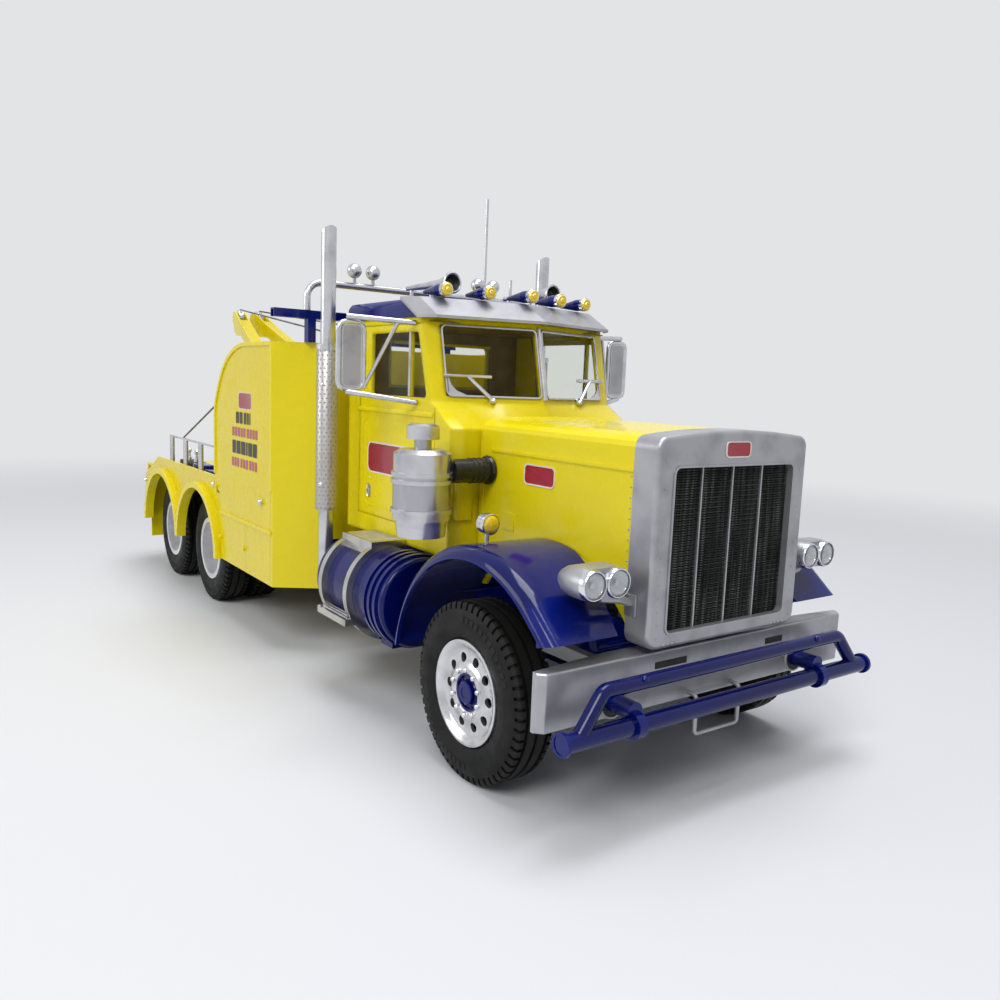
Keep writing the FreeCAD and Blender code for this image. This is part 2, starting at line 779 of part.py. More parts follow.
def headlamp(side):
    y = side * lamp_pod_y
    z = lamp_pod_z
    shapes = [rod(lamp_pod_radius, (lamp_pod_back, y + way * lamp_spread, z),
                  (lamp_pod_front, y + way * lamp_spread, z))
              for way in (-1, 1)]
    bridge = block(lamp_pod_back, lamp_pod_front, y - lamp_spread, y + lamp_spread, z - lamp_pod_radius,
                   z + lamp_pod_radius)
    body = join(shapes + [bridge])
    body = round_edges(body, lamp_pod_radius * pod_round_share,
                       lambda e: e.BoundBox.XMax < lamp_pod_back + fine_edge)
    tools = [rod(lamp_lens_radius + running_gap,
                 (lamp_pod_front - lamp_recess * 2, y + way * lamp_spread, z),
                 (lamp_pod_front + overrun, y + way * lamp_spread, z)) for way in (-1, 1)]
    body = body.cut(tools)
    stem_z = z - lamp_pod_radius - lamp_stem_radius
    stem = bent_rod([(lamp_stem_x, y, z - lamp_pod_radius / 2),
                     (lamp_stem_x, y - side * lamp_spread, stem_z),
                     (lamp_stem_x, side * (shell_half_width + running_gap), stem_z)], lamp_stem_radius,
                    lamp_stem_bend)
    return body.fuse(stem)


pod_round_share = 0.8


def turn_lamp(side):
    y = side * turn_lamp_y
    can = rod(turn_lamp_radius, (turn_lamp_x - turn_lamp_length / 2, y, turn_lamp_z),
              (turn_lamp_x + turn_lamp_length / 2, y, turn_lamp_z))
    fender_top = arch_z + math.sqrt(fender_radius ** 2 - (turn_lamp_x - arch_x) ** 2)
    stem = rod(stem_radius, (turn_lamp_x, y, fender_top + seat_gap), (turn_lamp_x, y, turn_lamp_z))
    return can.fuse(stem)


def headlamps():
    pieces = []
    lenses = []
    for side in (-1, 1):
        pieces.append(headlamp(side))
        for way in (-1, 1):
            y = side * lamp_pod_y + way * lamp_spread
            lenses.append(rod(lamp_lens_radius, (lamp_pod_front - lamp_recess * 2, y, lamp_pod_z),
                              (lamp_pod_front - lamp_recess / 2, y, lamp_pod_z)))
    export("headlamp_pods", pieces)
    export("turn_lamps", [turn_lamp(-1), turn_lamp(1)])
    export("headlamp_lenses", lenses)


# Cab

cab_wall = 1.1
sill_rise = 1.4
window_head = 4.0
screen_head = 2.0
pane_margin = 1.3
window_margin = 1.6
door_front_x = -40.5
door_rear_x = -85.0
door_low = 50.4
door_window_rear = -77.6
door_window_front = -45.2
door_window_low = belt_z + sill_rise / 2
door_window_top = eave_z - window_head
vent_post_x = -54.5
vent_post = 0.9
seam = 0.35
screen_low = belt_z + sill_rise
screen_high = eave_z - screen_head
screen_post = 0.8
screen_pane_half = screen_half_width - pane_margin
rear_window_half = 18.5
rear_window_low = 90.0
rear_window_head = 5.7
rear_window_high = eave_z - rear_window_head
glass_thickness = 0.5


def cab_plan(z, centre_x, side_x, inset):
    half = cab_half_width - inset
    corner_x = side_x - pillar_set
    front_half = screen_half_width - inset / 2
    rear = cab_rear_x + inset
    right = [V(centre_x - inset, 0, z), V(side_x - inset, -front_half, z),
             V(corner_x - inset / 2, -half, z),
             V(rear, -half, z)]
    left = [V(p.x, -p.y, z) for p in reversed(right[1:])]
    return Part.makePolygon(right + left + right[:1])


def cab_layers(inset):
    lift = eave_z - belt_z
    lean = screen_rake
    rise = belt_z - cowl_z
    low = cab_floor - (overrun if inset else 0)
    top = eave_z + (overrun if inset else 0)
    lean_top = lean * (top - belt_z) / lift
    layers = [(low, cowl_x, cowl_x), (cowl_z - inset / 2, cowl_x, cowl_x),
              (belt_z - inset / 2, screen_low_centre_x, screen_low_side_x),
              (top, screen_low_centre_x - lean_top, screen_low_side_x - lean_top)]
    shapes = []
    for (z0, c0, s0), (z1, c1, s1) in zip(layers, layers[1:]):
        shapes.append(Part.makeLoft([cab_plan(z0, c0, s0, inset), cab_plan(z1, c1, s1, inset)], True,
                                    True))
    return join(shapes)


def cab_shell():
    outer = cab_layers(0)
    inner = cab_layers(cab_wall)
    tools = [inner]
    for side in (-1, 1):
        pane = cross_plate([(side * screen_post, screen_low), (side * screen_pane_half, screen_low),
                            (side * screen_pane_half, screen_high), (side * screen_post, screen_high)],
                           screen_low_side_x - overrun * 3, cowl_x + overrun)
        tools.append(pane)
    front_top = door_window_front - screen_rake
    window = side_plate([(door_window_rear, door_window_low), (door_window_front, door_window_low),
                         (front_top, door_window_top), (door_window_rear, door_window_top)],
                        -cab_half_width - overrun, cab_half_width + overrun)
    tools.append(round_edges(window, fine_edge * 2, lambda e: along(e, (0, 1, 0))))
    rear = block(cab_rear_x - overrun, cab_rear_x + overrun, -rear_window_half, rear_window_half,
                 rear_window_low, rear_window_high)
    tools.append(round_edges(rear, fine_edge * 2, lambda e: along(e, (1, 0, 0))))
    body = outer.cut(tools)
    for side in (-1, 1):
        y = side * cab_half_width
        frame = block(door_rear_x, door_front_x, y - side * seam, y + side * overrun, door_low,
                      eave_z - window_margin)
        inside = block(door_rear_x + seam, door_front_x - seam, y - side * overrun, y + side * overrun,
                       door_low + seam, eave_z - window_margin - seam)
        body = body.cut(frame.cut(inside))
        post = block(vent_post_x - vent_post / 2, vent_post_x + vent_post / 2, y - side * cab_wall, y,
                     door_window_low - seam, door_window_top + seam)
        body = body.fuse(post)
    floor = block(cab_rear_x + cab_wall / 2, cowl_x - cab_wall, -cab_half_width + cab_wall / 2,
                  cab_half_width - cab_wall / 2, cab_floor, cab_floor + cab_wall)
    export("cab_shell", body.fuse(floor).removeSplitter())


def cab_glass():
    pieces = []
    reach = screen_post + seat_gap
    lean = screen_rake / (eave_z - belt_z)
    for side in (-1, 1):
        def screen_x(y, z):
            share = abs(y) / screen_half_width
            base = screen_low_centre_x + (screen_low_side_x - screen_low_centre_x) * share
            return base - lean * (z - belt_z) - cab_wall - seat_gap
        low, high = screen_low - window_margin, screen_high + window_margin
        corners = [(reach, low), (screen_pane_half + fine_edge, low),
                   (screen_pane_half + fine_edge, high), (reach, high)]
        front = [V(screen_x(y, z), side * y, z) for y, z in corners]
        face = Part.Face(Part.makePolygon(front + front[:1]))
        pieces.append(face.extrude(V(-glass_thickness, 0, 0)))
        y = side * (cab_half_width - cab_wall - running_gap)
        pieces.append(side_plate([(door_window_rear - window_margin, door_window_low - window_margin),
                                  (door_window_front + window_margin / 2,
                                   door_window_low - window_margin),
                                  (door_window_front - screen_rake + window_margin / 2,
                                   door_window_top + window_margin),
                                  (door_window_rear - window_margin, door_window_top + window_margin)],
                                 y, y - side * glass_thickness))
    back = cab_rear_x + cab_wall + running_gap
    pieces.append(block(back, back + glass_thickness, -rear_window_half - window_margin,
                        rear_window_half + window_margin, rear_window_low - window_margin,
                        rear_window_high + window_margin))
    export("cab_glass", pieces)


roof_overhang = 0.5
roof_edge_rise = 2.0
roof_edge = eave_z + roof_edge_rise
roof_fillet = 3.2
roof_crown_radius = 600.0


def roof_solid(inset, low, top):
    lean = screen_rake * (roof_edge - belt_z) / (eave_z - belt_z)
    centre = screen_low_centre_x - lean + roof_overhang - inset
    side = screen_low_side_x - lean + roof_overhang - inset
    half = cab_half_width + roof_overhang - inset
    corner_x = side - pillar_set
    rear = cab_rear_x - roof_overhang + inset
    right = [(centre, 0), (side, -screen_half_width), (corner_x, -half), (rear, -half)]
    outline = right + [(x, -y) for x, y in reversed(right[1:])]
    body = flat_plate(outline, low, top)
    return body


def cab_roof():
    body = roof_solid(0, eave_z + running_gap, roof_top)
    body = round_edges(body, roof_fillet, lambda e: e.BoundBox.ZMin > roof_top - fine_edge)
    crown = rod(roof_crown_radius, (cab_rear_x - overrun * 2, 0, roof_top - roof_crown_radius),
                (0, 0, roof_top - roof_crown_radius))
    body = body.common(crown).cut(visor_pieces(overrun * 2, visor_overlap))
    inner = roof_solid(cab_wall * 2, eave_z - overrun, roof_top - roof_fillet)
    export("cab_roof", body.cut(inner))


seat_width = 17.0
seat_depth = 15.0
seat_height = 12.0
seat_back = 26.0
seat_cushion = 4.5
seat_x = -84.0
seat_y = 15.5
dash_depth = 8.0
dash_height = 20.0
wheel_radius = 8.6
wheel_rim = 0.6
steering_x = -54.0
steering_z = 82.0
steering_tilt = 35.0


def cab_interior():
    floor = cab_floor + cab_wall
    inner = cab_half_width - cab_wall - seat_gap
    pieces = []
    for side in (-1, 1):
        y = side * seat_y
        base = block(seat_x, seat_x + seat_depth, y - seat_width / 2, y + seat_width / 2, floor,
                     floor + seat_height)
        back = block(seat_x - fine_edge, seat_x + seat_cushion, y - seat_width / 2, y + seat_width / 2,
                     floor + seat_height - fine_edge, floor + seat_height + seat_back)
        pieces.append(join([base, back]))
    dash_top = belt_z - window_margin
    front = cowl_x - cab_wall - seat_gap
    dash = side_plate([(front, floor + dash_height), (front, cowl_z - cab_wall * 2),
                       (screen_low_side_x, dash_top - cab_wall),
                       (screen_low_side_x - dash_depth, dash_top - cab_wall * 2),
                       (screen_low_side_x - dash_depth, floor + dash_height)],
                      -screen_half_width + cab_wall * 2,
                      screen_half_width - cab_wall * 2)
    tilt = math.radians(steering_tilt)
    axis = V(-math.sin(tilt), 0, math.cos(tilt))
    centre = V(steering_x, seat_y, steering_z)
    ring = Part.makeTorus(wheel_radius, wheel_rim, centre, axis)
    spoke_way = V(math.cos(tilt), 0, math.sin(tilt))
    column_end = centre - axis * (dash_depth * 2)
    column = rod(wheel_rim * 2, tuple(centre), tuple(column_end))
    spokes = [rod(wheel_rim, tuple(centre), tuple(centre + way * wheel_radius)) for way in
              (spoke_way, (V(0, 1, 0) - spoke_way).normalize(), (V(0, -1, 0) - spoke_way).normalize())]
    pieces.append(join([dash, ring, column] + spokes))
    export("cab_interior", pieces)


visor_drop = 0.4
visor_set = 1.1
visor_lip_z = eave_z - visor_drop
visor_back_z = roof_top - visor_set
visor_centre_x = -35.8
visor_side_x = -43.6
visor_wrap_x = -49.0
visor_thickness = 0.8
visor_depth = 9.6
visor_reach = 1.8
visor_wrap_reach = 1.4
visor_half = screen_half_width + visor_reach
visor_wrap_half = cab_half_width + visor_wrap_reach
visor_overlap = 4.0


def visor_section(y, front, thickness, extra):
    back = front - visor_depth
    slope = (visor_back_z - visor_lip_z) / visor_depth
    low_front = V(front + extra, y, visor_lip_z - slope * extra)
    low_back = V(back - extra, y, visor_back_z + slope * extra)
    up = V(0, 0, thickness)
    return Part.makePolygon([low_front, low_front + up, low_back + up, low_back, low_front])


def visor_pieces(thickness, extra):
    wrap_slope = (visor_side_x - visor_wrap_x) / (visor_wrap_half - visor_half)
    far = (visor_wrap_half + extra, visor_wrap_x - extra * wrap_slope)
    stations = [(-far[0], far[1]), (-visor_half, visor_side_x), (0, visor_centre_x),
                (visor_half, visor_side_x), far]
    sections = [visor_section(y, x, thickness, extra) for y, x in stations]
    return join([Part.makeLoft([a, b], True, True) for a, b in zip(sections, sections[1:])])


def sun_visor():
    body = visor_pieces(visor_thickness, 0)
    body.translate(V(0, 0, running_gap))
    export("sun_visor", body)


marker_places = ((-48.4, 25.2), (-45.2, 12.8), (-42.2, 0.0))
marker_rise = 1.8
marker_z = roof_top + marker_rise
marker_radius = 1.75
marker_length = 12.0
marker_tail = 0.5
marker_foot = 0.8
horn_x = -56.0
horn_y = 18.5
horn_rise = 4.8
horn_z = roof_top + horn_rise
horn_radius = 3.1
horn_length = 26.0
horn_throat = 0.7
horn_foot_shares = (0.45, 0.9)
horn_flare_shares = ((0.0, 0.25), (0.45, 0.34), (0.75, 0.48), (0.92, 0.75), (1.0, 1.0))


def marker_lamps():
    pieces = []
    places = list(marker_places) + [(x, -y) for x, y in marker_places if y]
    for x, y in places:
        profile = [(0, 0), (0, marker_radius), (-marker_length / 3, marker_radius),
                   (-marker_length, marker_tail), (-marker_length, 0)]
        body = turned(profile, (x, y, marker_z), (1, 0, 0))
        pieces.append(body)
    export("marker_lamps", pieces)


def roof_horns():
    pieces = []
    for side in (-1, 1):
        profile = [(horn_length * s - horn_length, horn_radius * r) for s, r in horn_flare_shares]
        inner = [(a, max(r - horn_throat, 0)) for a, r in reversed(profile[2:])]
        outline = [(-horn_length, 0)] + profile + [inner[0]] + inner[1:] + [(inner[-1][0], 0)]
        body = turned(outline, (horn_x, side * horn_y, horn_z), (1, 0, 0))
        roof_drop = horn_y ** 2 / roof_crown_radius / 2
        feet = [rod(stem_radius, (horn_x - horn_length * s, side * horn_y,
                                  roof_top - roof_drop + running_gap),
                    (horn_x - horn_length * s, side * horn_y, horn_z)) for s in horn_foot_shares]
        pieces.append(join([body] + feet))
    export("roof_horns", pieces)


mirror_reach = 20.7
mirror_y = cab_half_width + mirror_reach
mirror_width = 8.2
mirror_x = -58.4
mirror_low = 88.0
mirror_high = 107.4
mirror_rod = 0.75
mirror_bend = 2.2
mirror_plate = 0.9
mirror_arm_inset = 3.0
mirror_low_arm_x = -50.0
mirror_low_arm_z = 85.6
mirror_high_arm_x = -51.6
mirror_high_arm_z = 107.3
brace_start_share = 0.25


def mirrors():
    pieces = []
    inner = mirror_y - mirror_width
    for side in (-1, 1):
        y0, y1 = side * (mirror_y - mirror_rod), side * inner
        x = mirror_x
        low, high = mirror_low + mirror_rod, mirror_high - mirror_rod
        frame = bent_rod([(x, y1, high - mirror_width), (x, y1, high), (x, y0, high), (x, y0, low),
                          (x, y1, low),
                          (x, y1, high - mirror_width)], mirror_rod, mirror_bend)
        plate = block(x - mirror_plate / 2, x + mirror_plate / 2, y0, y1, low, high)
        wall = side * (cab_half_width + seat_gap)
        reach = side * (mirror_y - mirror_arm_inset)
        lower = rod(mirror_rod, (mirror_low_arm_x, wall, mirror_low_arm_z), (x, reach, low - mirror_rod))
        upper = rod(mirror_rod, (mirror_high_arm_x, wall, mirror_high_arm_z),
                    (x, reach, high + mirror_rod * 2))
        start = V(mirror_high_arm_x, wall, mirror_high_arm_z)
        start += (V(x, reach, high + mirror_rod * 2) - start) * brace_start_share
        brace = rod(mirror_rod * brace_share, tuple(start), (x, y1, low))
        arms = [lower, upper]
        pieces.append(join([frame, plate, brace] + arms))
    export("mirrors", pieces)


brace_share = 0.8
wiper_radius = 0.4


def screen_point(side, y, z, out):
    lean = screen_rake / (eave_z - belt_z)
    base = screen_low_centre_x + (screen_low_side_x - screen_low_centre_x) * y / screen_half_width
    return (base - lean * (z - belt_z) + out, side * y, z)


def wipers():
    arms = []
    out = wiper_radius * 3
    for side in (-1, 1):
        pivot = screen_point(side, wiper_pivot_y, wiper_pivot_z, out)
        elbow = screen_point(side, wiper_tip_y, wiper_blade_z, out)
        foot = screen_point(side, wiper_pivot_y, wiper_pivot_z, seat_gap * 2)
        blade = [screen_point(side, wiper_tip_y + way * wiper_blade_half, wiper_blade_z, out)
                 for way in (-1, 1)]
        knob = rod(wiper_radius * 2, foot, (pivot[0] + wiper_radius * 2, pivot[1], pivot[2]))
        arms.append(join([rod(wiper_radius, pivot, elbow), knob, rod(wiper_radius, blade[0], blade[1])]))
    export("wipers", arms)


wiper_pivot_z = 86.9
wiper_pivot_y = 15.6
wiper_tip_y = 22.2
wiper_blade_z = 93.4
wiper_blade_half = 6.6


# Exhausts, air cleaners and tanks

stack_x = -90.6
stack_out = 8.4
stack_y = cab_half_width + stack_out
stack_radius = 2.3
stack_top = 136.6
stack_slant = 3.4
stack_low = 27.0
shield_radius = 3.2
shield_wall = 0.4
shield_low = 50.7
shield_top = 101.5
shield_bracket = 1.6
cleaner_x = -30.2
cleaner_out = 9.6
cleaner_y = cab_half_width + cleaner_out
cleaner_radius = 7.9
cleaner_low = 56.8
cleaner_top = 74.6
cleaner_cup_radius = 6.2
cleaner_cup_low = 52.4
cleaner_neck_radius = 2.2
cleaner_cap_radius = 4.2
cleaner_cap_low = 77.2
cleaner_cap_top = 81.0
cleaner_rib = 0.5
cleaner_bracket_x = -34.4
rib_width = 1.0
rib_low_shares = (0.10, 0.52, 0.62)
elbow_z = 69.2
elbow_radius = 3.1
elbow_x = -26.2
elbow_bend = 5.0


def exhausts():
    pieces = []
    for side in (-1, 1):
        y = side * stack_y
        pipe = rod(stack_radius, (stack_x, y, stack_low), (stack_x, y, stack_top))
        slant = side_plate([(stack_x - stack_radius, stack_top - stack_slant),
                            (stack_x + stack_radius, stack_top),
                            (stack_x + stack_radius, stack_top + overrun),
                            (stack_x - stack_radius, stack_top + overrun)],
                           y - overrun, y + overrun)
        bore = rod(stack_radius - shield_wall, (stack_x, y, shield_top + overrun),
                   (stack_x, y, stack_top + overrun))
        shield = rod(shield_radius, (stack_x, y, shield_low), (stack_x, y, shield_top))
        collar = rod(shield_radius + shield_wall, (stack_x, y, shield_top - shield_bracket),
                     (stack_x, y, shield_top))
        elbow_end = (stack_x, side * (rail_outer_y + running_gap), stack_low + shield_radius)
        elbow = rod(stack_radius - shield_wall, (stack_x, y, stack_low + shield_radius), elbow_end)
        pieces.append(join([pipe, shield, collar, elbow]).cut([slant, bore]))
    export("exhausts", pieces)


def air_cleaners():
    height = cleaner_top - cleaner_low
    profile = [(cleaner_cup_low, 0), (cleaner_cup_low, cleaner_cup_radius),
               (cleaner_low, cleaner_cup_radius + cleaner_rib),
               (cleaner_low, cleaner_radius - cleaner_rib)]
    for share in rib_low_shares:
        z = cleaner_low + height * share
        profile += [(z, cleaner_radius - cleaner_rib), (z, cleaner_radius),
                    (z + rib_width, cleaner_radius),
                    (z + rib_width, cleaner_radius - cleaner_rib)]
    profile += [(cleaner_top - cleaner_rib * 2, cleaner_radius - cleaner_rib),
                (cleaner_top, cleaner_radius - cleaner_rib * 4), (cleaner_top, cleaner_neck_radius),
                (cleaner_cap_low, cleaner_neck_radius), (cleaner_cap_low, cleaner_cap_radius),
                (cleaner_cap_top - cleaner_rib, cleaner_cap_radius),
                (cleaner_cap_top, cleaner_cap_radius - cleaner_rib * 2),
                (cleaner_cap_top, 0)]
    body = turned(profile, (cleaner_x, -cleaner_y, 0), (0, 0, 1))
    brackets = [block(cleaner_bracket_x - rib_width, cleaner_bracket_x + rib_width,
                      -cab_half_width - running_gap * 2, -cleaner_y,
                      z - rib_width, z + rib_width) for z in (cleaner_low + overrun,
                                                              cleaner_top - overrun)]
    export("air_cleaners", both(join([body] + brackets)))


def intake_elbows():
    pieces = []
    for side in (-1, 1):
        start = (elbow_x, side * (cleaner_y - cleaner_radius + cleaner_rib * 4), elbow_z)
        end = (elbow_x, side * (hood_half_width + seat_gap), elbow_z)
        body = rod(elbow_radius, start, end)
        can = rod(cleaner_radius + running_gap, (cleaner_x, side * cleaner_y, cleaner_low),
                  (cleaner_x, side * cleaner_y, cleaner_top))
        pieces.append(body.cut(can))
    export("intake_elbows", pieces)


tank_front_x = -37.4
tank_rear_x = -78.6
tank_radius = 12.4
tank_y = 37.0
tank_z = 32.2
tank_rib = 0.6
tank_rib_width = 1.3
tank_ribs = 3
tank_rib_pitch = 3.0
step_front_x = -54.0
step_rear_x = -72.5
step_strap_width = 2.2
step_strap = 1.9
step_plate_low = 23.4
step_plate_out = 4.2


def fuel_tanks():
    body = rod(tank_radius, (tank_rear_x, -tank_y, tank_z), (tank_front_x, -tank_y, tank_z))
    body = round_edges(body, skin, lambda e: isinstance(e.Curve, Part.Circle))
    ribs = []
    for n in range(tank_ribs):
        x = tank_front_x - tank_rib_width * 2 - tank_rib_pitch * n
        ribs.append(rod(tank_radius + tank_rib, (x - tank_rib_width, -tank_y, tank_z),
                        (x, -tank_y, tank_z)))
    bracket = block(step_rear_x + step_strap_width + seat_gap, step_front_x - step_strap_width - seat_gap,
                    -tank_y + tank_radius - skin, -rail_outer_y, tank_z - skin, tank_z + skin)
    foot = block(tank_foot_x - tank_foot_length, tank_foot_x, -tank_y - tank_foot_width, -tank_y,
                 tank_foot_low, tank_z - tank_radius + skin)
    export("fuel_tanks", both(join([body, bracket, foot] + ribs)))


def tank_steps():
    pieces = []
    inner = tank_radius + running_gap
    outer = inner + step_strap
    for x in (step_front_x, step_rear_x + step_strap_width):
        ring = rod(outer, (x - step_strap_width, -tank_y, tank_z), (x, -tank_y, tank_z))
        ring = ring.cut(rod(inner, (x - step_strap_width, -tank_y, tank_z), (x, -tank_y, tank_z)))
        pieces.append(ring)
    reach = tank_radius * step_reach_share
    cab_side = -cab_half_width - seat_gap
    top = block(step_rear_x, step_front_x, -tank_y - reach, cab_side,
                tank_z + math.sqrt(inner ** 2 - reach ** 2), tank_z + outer)
    drum = rod(inner, (step_rear_x, -tank_y, tank_z), (step_front_x, -tank_y, tank_z))
    low = block(step_rear_x, step_front_x, -tank_y - tank_radius - step_plate_out / 2,
                -tank_y - tank_radius * step_low_share,
                step_plate_low, step_plate_low + step_strap).cut(drum)
    legs = [block(x - step_strap_width, x, -tank_y - tank_radius * step_low_share - step_strap * 2,
                  -tank_y - tank_radius * step_low_share, step_plate_low, tank_z - tank_radius / 3)
            for x in (step_front_x, step_rear_x + step_strap_width)]
    under_cab = block(step_rear_x, step_front_x, cab_side, -rail_outer_y, tank_z, cab_floor + overrun)
    body = join(pieces + [top.cut(drum), low] + [leg.cut(drum) for leg in legs]).cut(under_cab)
    export("tank_steps", both(body))


tank_foot_x = -47.0
tank_foot_length = 6.6
tank_foot_width = 3.4
tank_foot_low = 17.4
step_reach_share = 0.55
step_low_share = 0.72


# Wrecker body

box_wall = 1.1
box_bead_z = 40.4
box_bead = 0.6
box_corner_round = 2.4
door_seam = 0.3
cross_beam_x = -102.7
cross_beam_half = 54.0
cross_beam_low = 109.6
cross_beam_top = 112.2
cross_beam_depth = 3.0
cross_post_inset = 9.5
cross_post_y = body_half_width - cross_post_inset
cross_post_width = 2.6


def box_outline(inset, low, rear_x, step_x):
    x_front = body_front_x - inset
    top = box_top - inset
    wide = box_round_x - rear_x
    high = box_top - box_round_z
    points = [V(x_front, 0, low), V(x_front, 0, top)]
    edges = [Part.makeLine(points[0], points[1]), Part.makeLine(points[1], V(box_round_x, 0, top))]
    a, b = wide - inset, high - inset
    curve = []
    for n in range(box_round_steps + 1):
        turn = math.pi / 2 * n / box_round_steps
        curve.append(V(box_round_x - a * math.sin(turn), 0, box_round_z + b * math.cos(turn)))
    spline = Part.BSplineCurve()
    spline.interpolate(curve, InitialTangent=V(-1, 0, 0), FinalTangent=V(0, 0, -1))
    edges.append(spline.toShape())
    last = curve[-1]
    step_top = V(last.x, 0, deck_top - step_rise)
    step_in = V(step_x + inset, 0, deck_top - step_rise - step_rise)
    edges.append(Part.makeLine(last, step_top))
    edges.append(Part.makeLine(step_top, step_in))
    edges.append(Part.makeLine(step_in, V(step_in.x, 0, low)))
    edges.append(Part.makeLine(V(step_in.x, 0, low), points[0]))
    return Part.Face(Part.Wire(edges))


box_round_steps = 4
step_rise = 3.0


def box_solid(inset, low, y_out, y_in):
    face = box_outline(inset, low, box_rear_x, box_step_x)
    face.translate(V(0, y_out, 0))
    body = face.extrude(V(0, y_in - y_out, 0))
    slope = body_front_x - body_corner_x
    wedge = flat_plate([(body_front_x - inset, -box_inner_y), (body_front_x + overrun, -box_inner_y),
                        (body_front_x + overrun, -body_half_width - overrun),
                        (body_corner_x - inset - slope * overrun / (body_half_width - box_inner_y),
                         -body_half_width - overrun)],
                       0, box_top + overrun)
    return body.cut(wedge)


def side_boxes():
    outer = box_solid(0, box_low, -body_half_width, -box_inner_y)
    inner = box_solid(box_wall, box_low - overrun, -body_half_width + box_wall, -box_inner_y - box_wall)
    body = outer.cut(inner)
    bead = block(box_step_x + fine_edge, body_corner_x - fine_edge, -body_half_width - box_bead,
                 -body_half_width + fine_edge,
                 box_bead_z - box_bead, box_bead_z + box_bead)
    seams = [block(x, x + door_seam, -body_half_width - overrun, -body_half_width + door_seam, z0, z1)
             for x, z0, z1 in
             ((body_corner_x - skin * 2, box_low + skin, box_round_z),
              ((box_step_x + body_corner_x) / 2, box_low + skin, box_bead_z - box_bead))]
    latches = [rod(latch_radius, (x, -body_half_width - latch_out, z),
                   (x, -body_half_width + fine_edge, z))
               for x, z in ((body_corner_x - latch_inset, latch_high),
                            (box_step_x + fine_edge - latch_inset / 2, latch_high),
                            ((box_step_x + body_corner_x) / 2, latch_low),
                            (box_step_x + latch_radius, latch_low))]
    lip = box_solid(0, box_low, -body_half_width - lip_out, -body_half_width + fine_edge)
    lip = lip.cut([box_solid(lip_width, box_low - overrun, -body_half_width - overrun, -box_inner_y),
                   block(body_front_x + overrun, box_rear_x - overrun, -body_half_width - overrun, 0,
                         box_low - overrun, deck_top + lip_width)])
    body = body.cut(seams).fuse([bead, lip] + latches)
    export("side_boxes", both(body))


lip_out = 0.5
lip_width = 1.3
latch_radius = 0.8
latch_out = 0.9
latch_inset = 9.0
latch_high = 49.6
latch_low = 31.0


def body_bulkhead():
    inner = box_inner_y - running_gap
    plate = block(body_front_x - box_wall, body_front_x, -inner, inner, rail_top + running_gap,
                  box_top - box_wall)
    cap = block(body_front_x - box_wall * 2, body_front_x, -inner, inner, box_top - box_wall * 2,
                box_top - box_wall)
    export("body_bulkhead", join([plate, cap]))


panel_front_x = -176.0
panel_rear_x = -262.0
panel_half = 38.0
panel_rise = 0.4


def deck():
    inner = box_inner_y - running_gap
    rear = deck_rear_x
    wide = body_half_width - fine_edge - skin - running_gap
    front = body_front_x - box_wall - running_gap
    plate = flat_plate([(front, -inner), (front, inner), (box_rear_x - running_gap, inner),
                        (box_rear_x - running_gap, wide),
                        (rear, wide), (rear, -wide), (box_rear_x - running_gap, -wide),
                        (box_rear_x - running_gap, -inner)],
                       deck_floor_z - skin, deck_floor_z)
    sills = [block(front, rear + skin + running_gap, side * rail_outer_y,
                   side * (rail_outer_y - rail_flange), rail_top, deck_floor_z - skin)
             for side in (-1, 1)]
    panel = block(panel_front_x, panel_rear_x, -panel_half, panel_half, deck_floor_z,
                  deck_floor_z + panel_rise)
    export("deck", join([plate, panel] + sills))


flare_out = 2.6
flare_width = 2.4
tail_slope_x = -252.0
tail_corner_z = 42.4
tail_low = 30.0


def rear_fenders():
    y_out = -body_half_width + fine_edge
    y_in = y_out + skin
    leg = tyre_radius + skin
    front = box_rear_x - running_gap
    outline = [(front, deck_top), (tail_slope_x, deck_top), (deck_rear_x, tail_corner_z),
               (deck_rear_x, leg), (front, leg)]
    panel = side_plate(outline, y_out, y_in)
    front_fill = side_plate([(box_step_x - running_gap, leg),
                             (box_step_x - running_gap, deck_top - step_rise * 2 - running_gap),
                             (front - skin, deck_top - step_rise * 2), (front - skin, leg)], y_out, y_in)
    arches = []
    flares = []
    arch_reach = rear_arch_radius + flare_width
    for x in (mid_axle_x, rear_axle_x):
        arches.append(rod(rear_arch_radius, (x, y_out - overrun, tyre_radius),
                          (x, y_in + overrun, tyre_radius)))
        arches.append(block(x - rear_arch_radius, x + rear_arch_radius, y_out - overrun, y_in + overrun,
                            0, tyre_radius))
        ring = rod(rear_arch_radius + flare_width, (x, y_out - flare_out, tyre_radius),
                   (x, y_in, tyre_radius))
        flares.append(ring.cut([rod(rear_arch_radius, (x, y_out - overrun, tyre_radius),
                                    (x, y_in + overrun, tyre_radius)),
                                block(x - arch_reach, x + arch_reach, y_out - overrun, y_in + overrun,
                                      -overrun * 2, leg)]))
    body = join([panel.fuse(front_fill).cut(arches)] + flares)
    export("rear_fenders", both(body))


tail_plate = 1.2
tail_lamp_radius = 1.7
tail_lamp_y = (44.0, 38.5)
hitch_half = 5.0
flap_x = -272.0
flap_inset = 2.1
flap_outer = body_half_width - flap_inset
flap_inner = 22.0
flap_low = 12.6
flap_thickness = 0.8


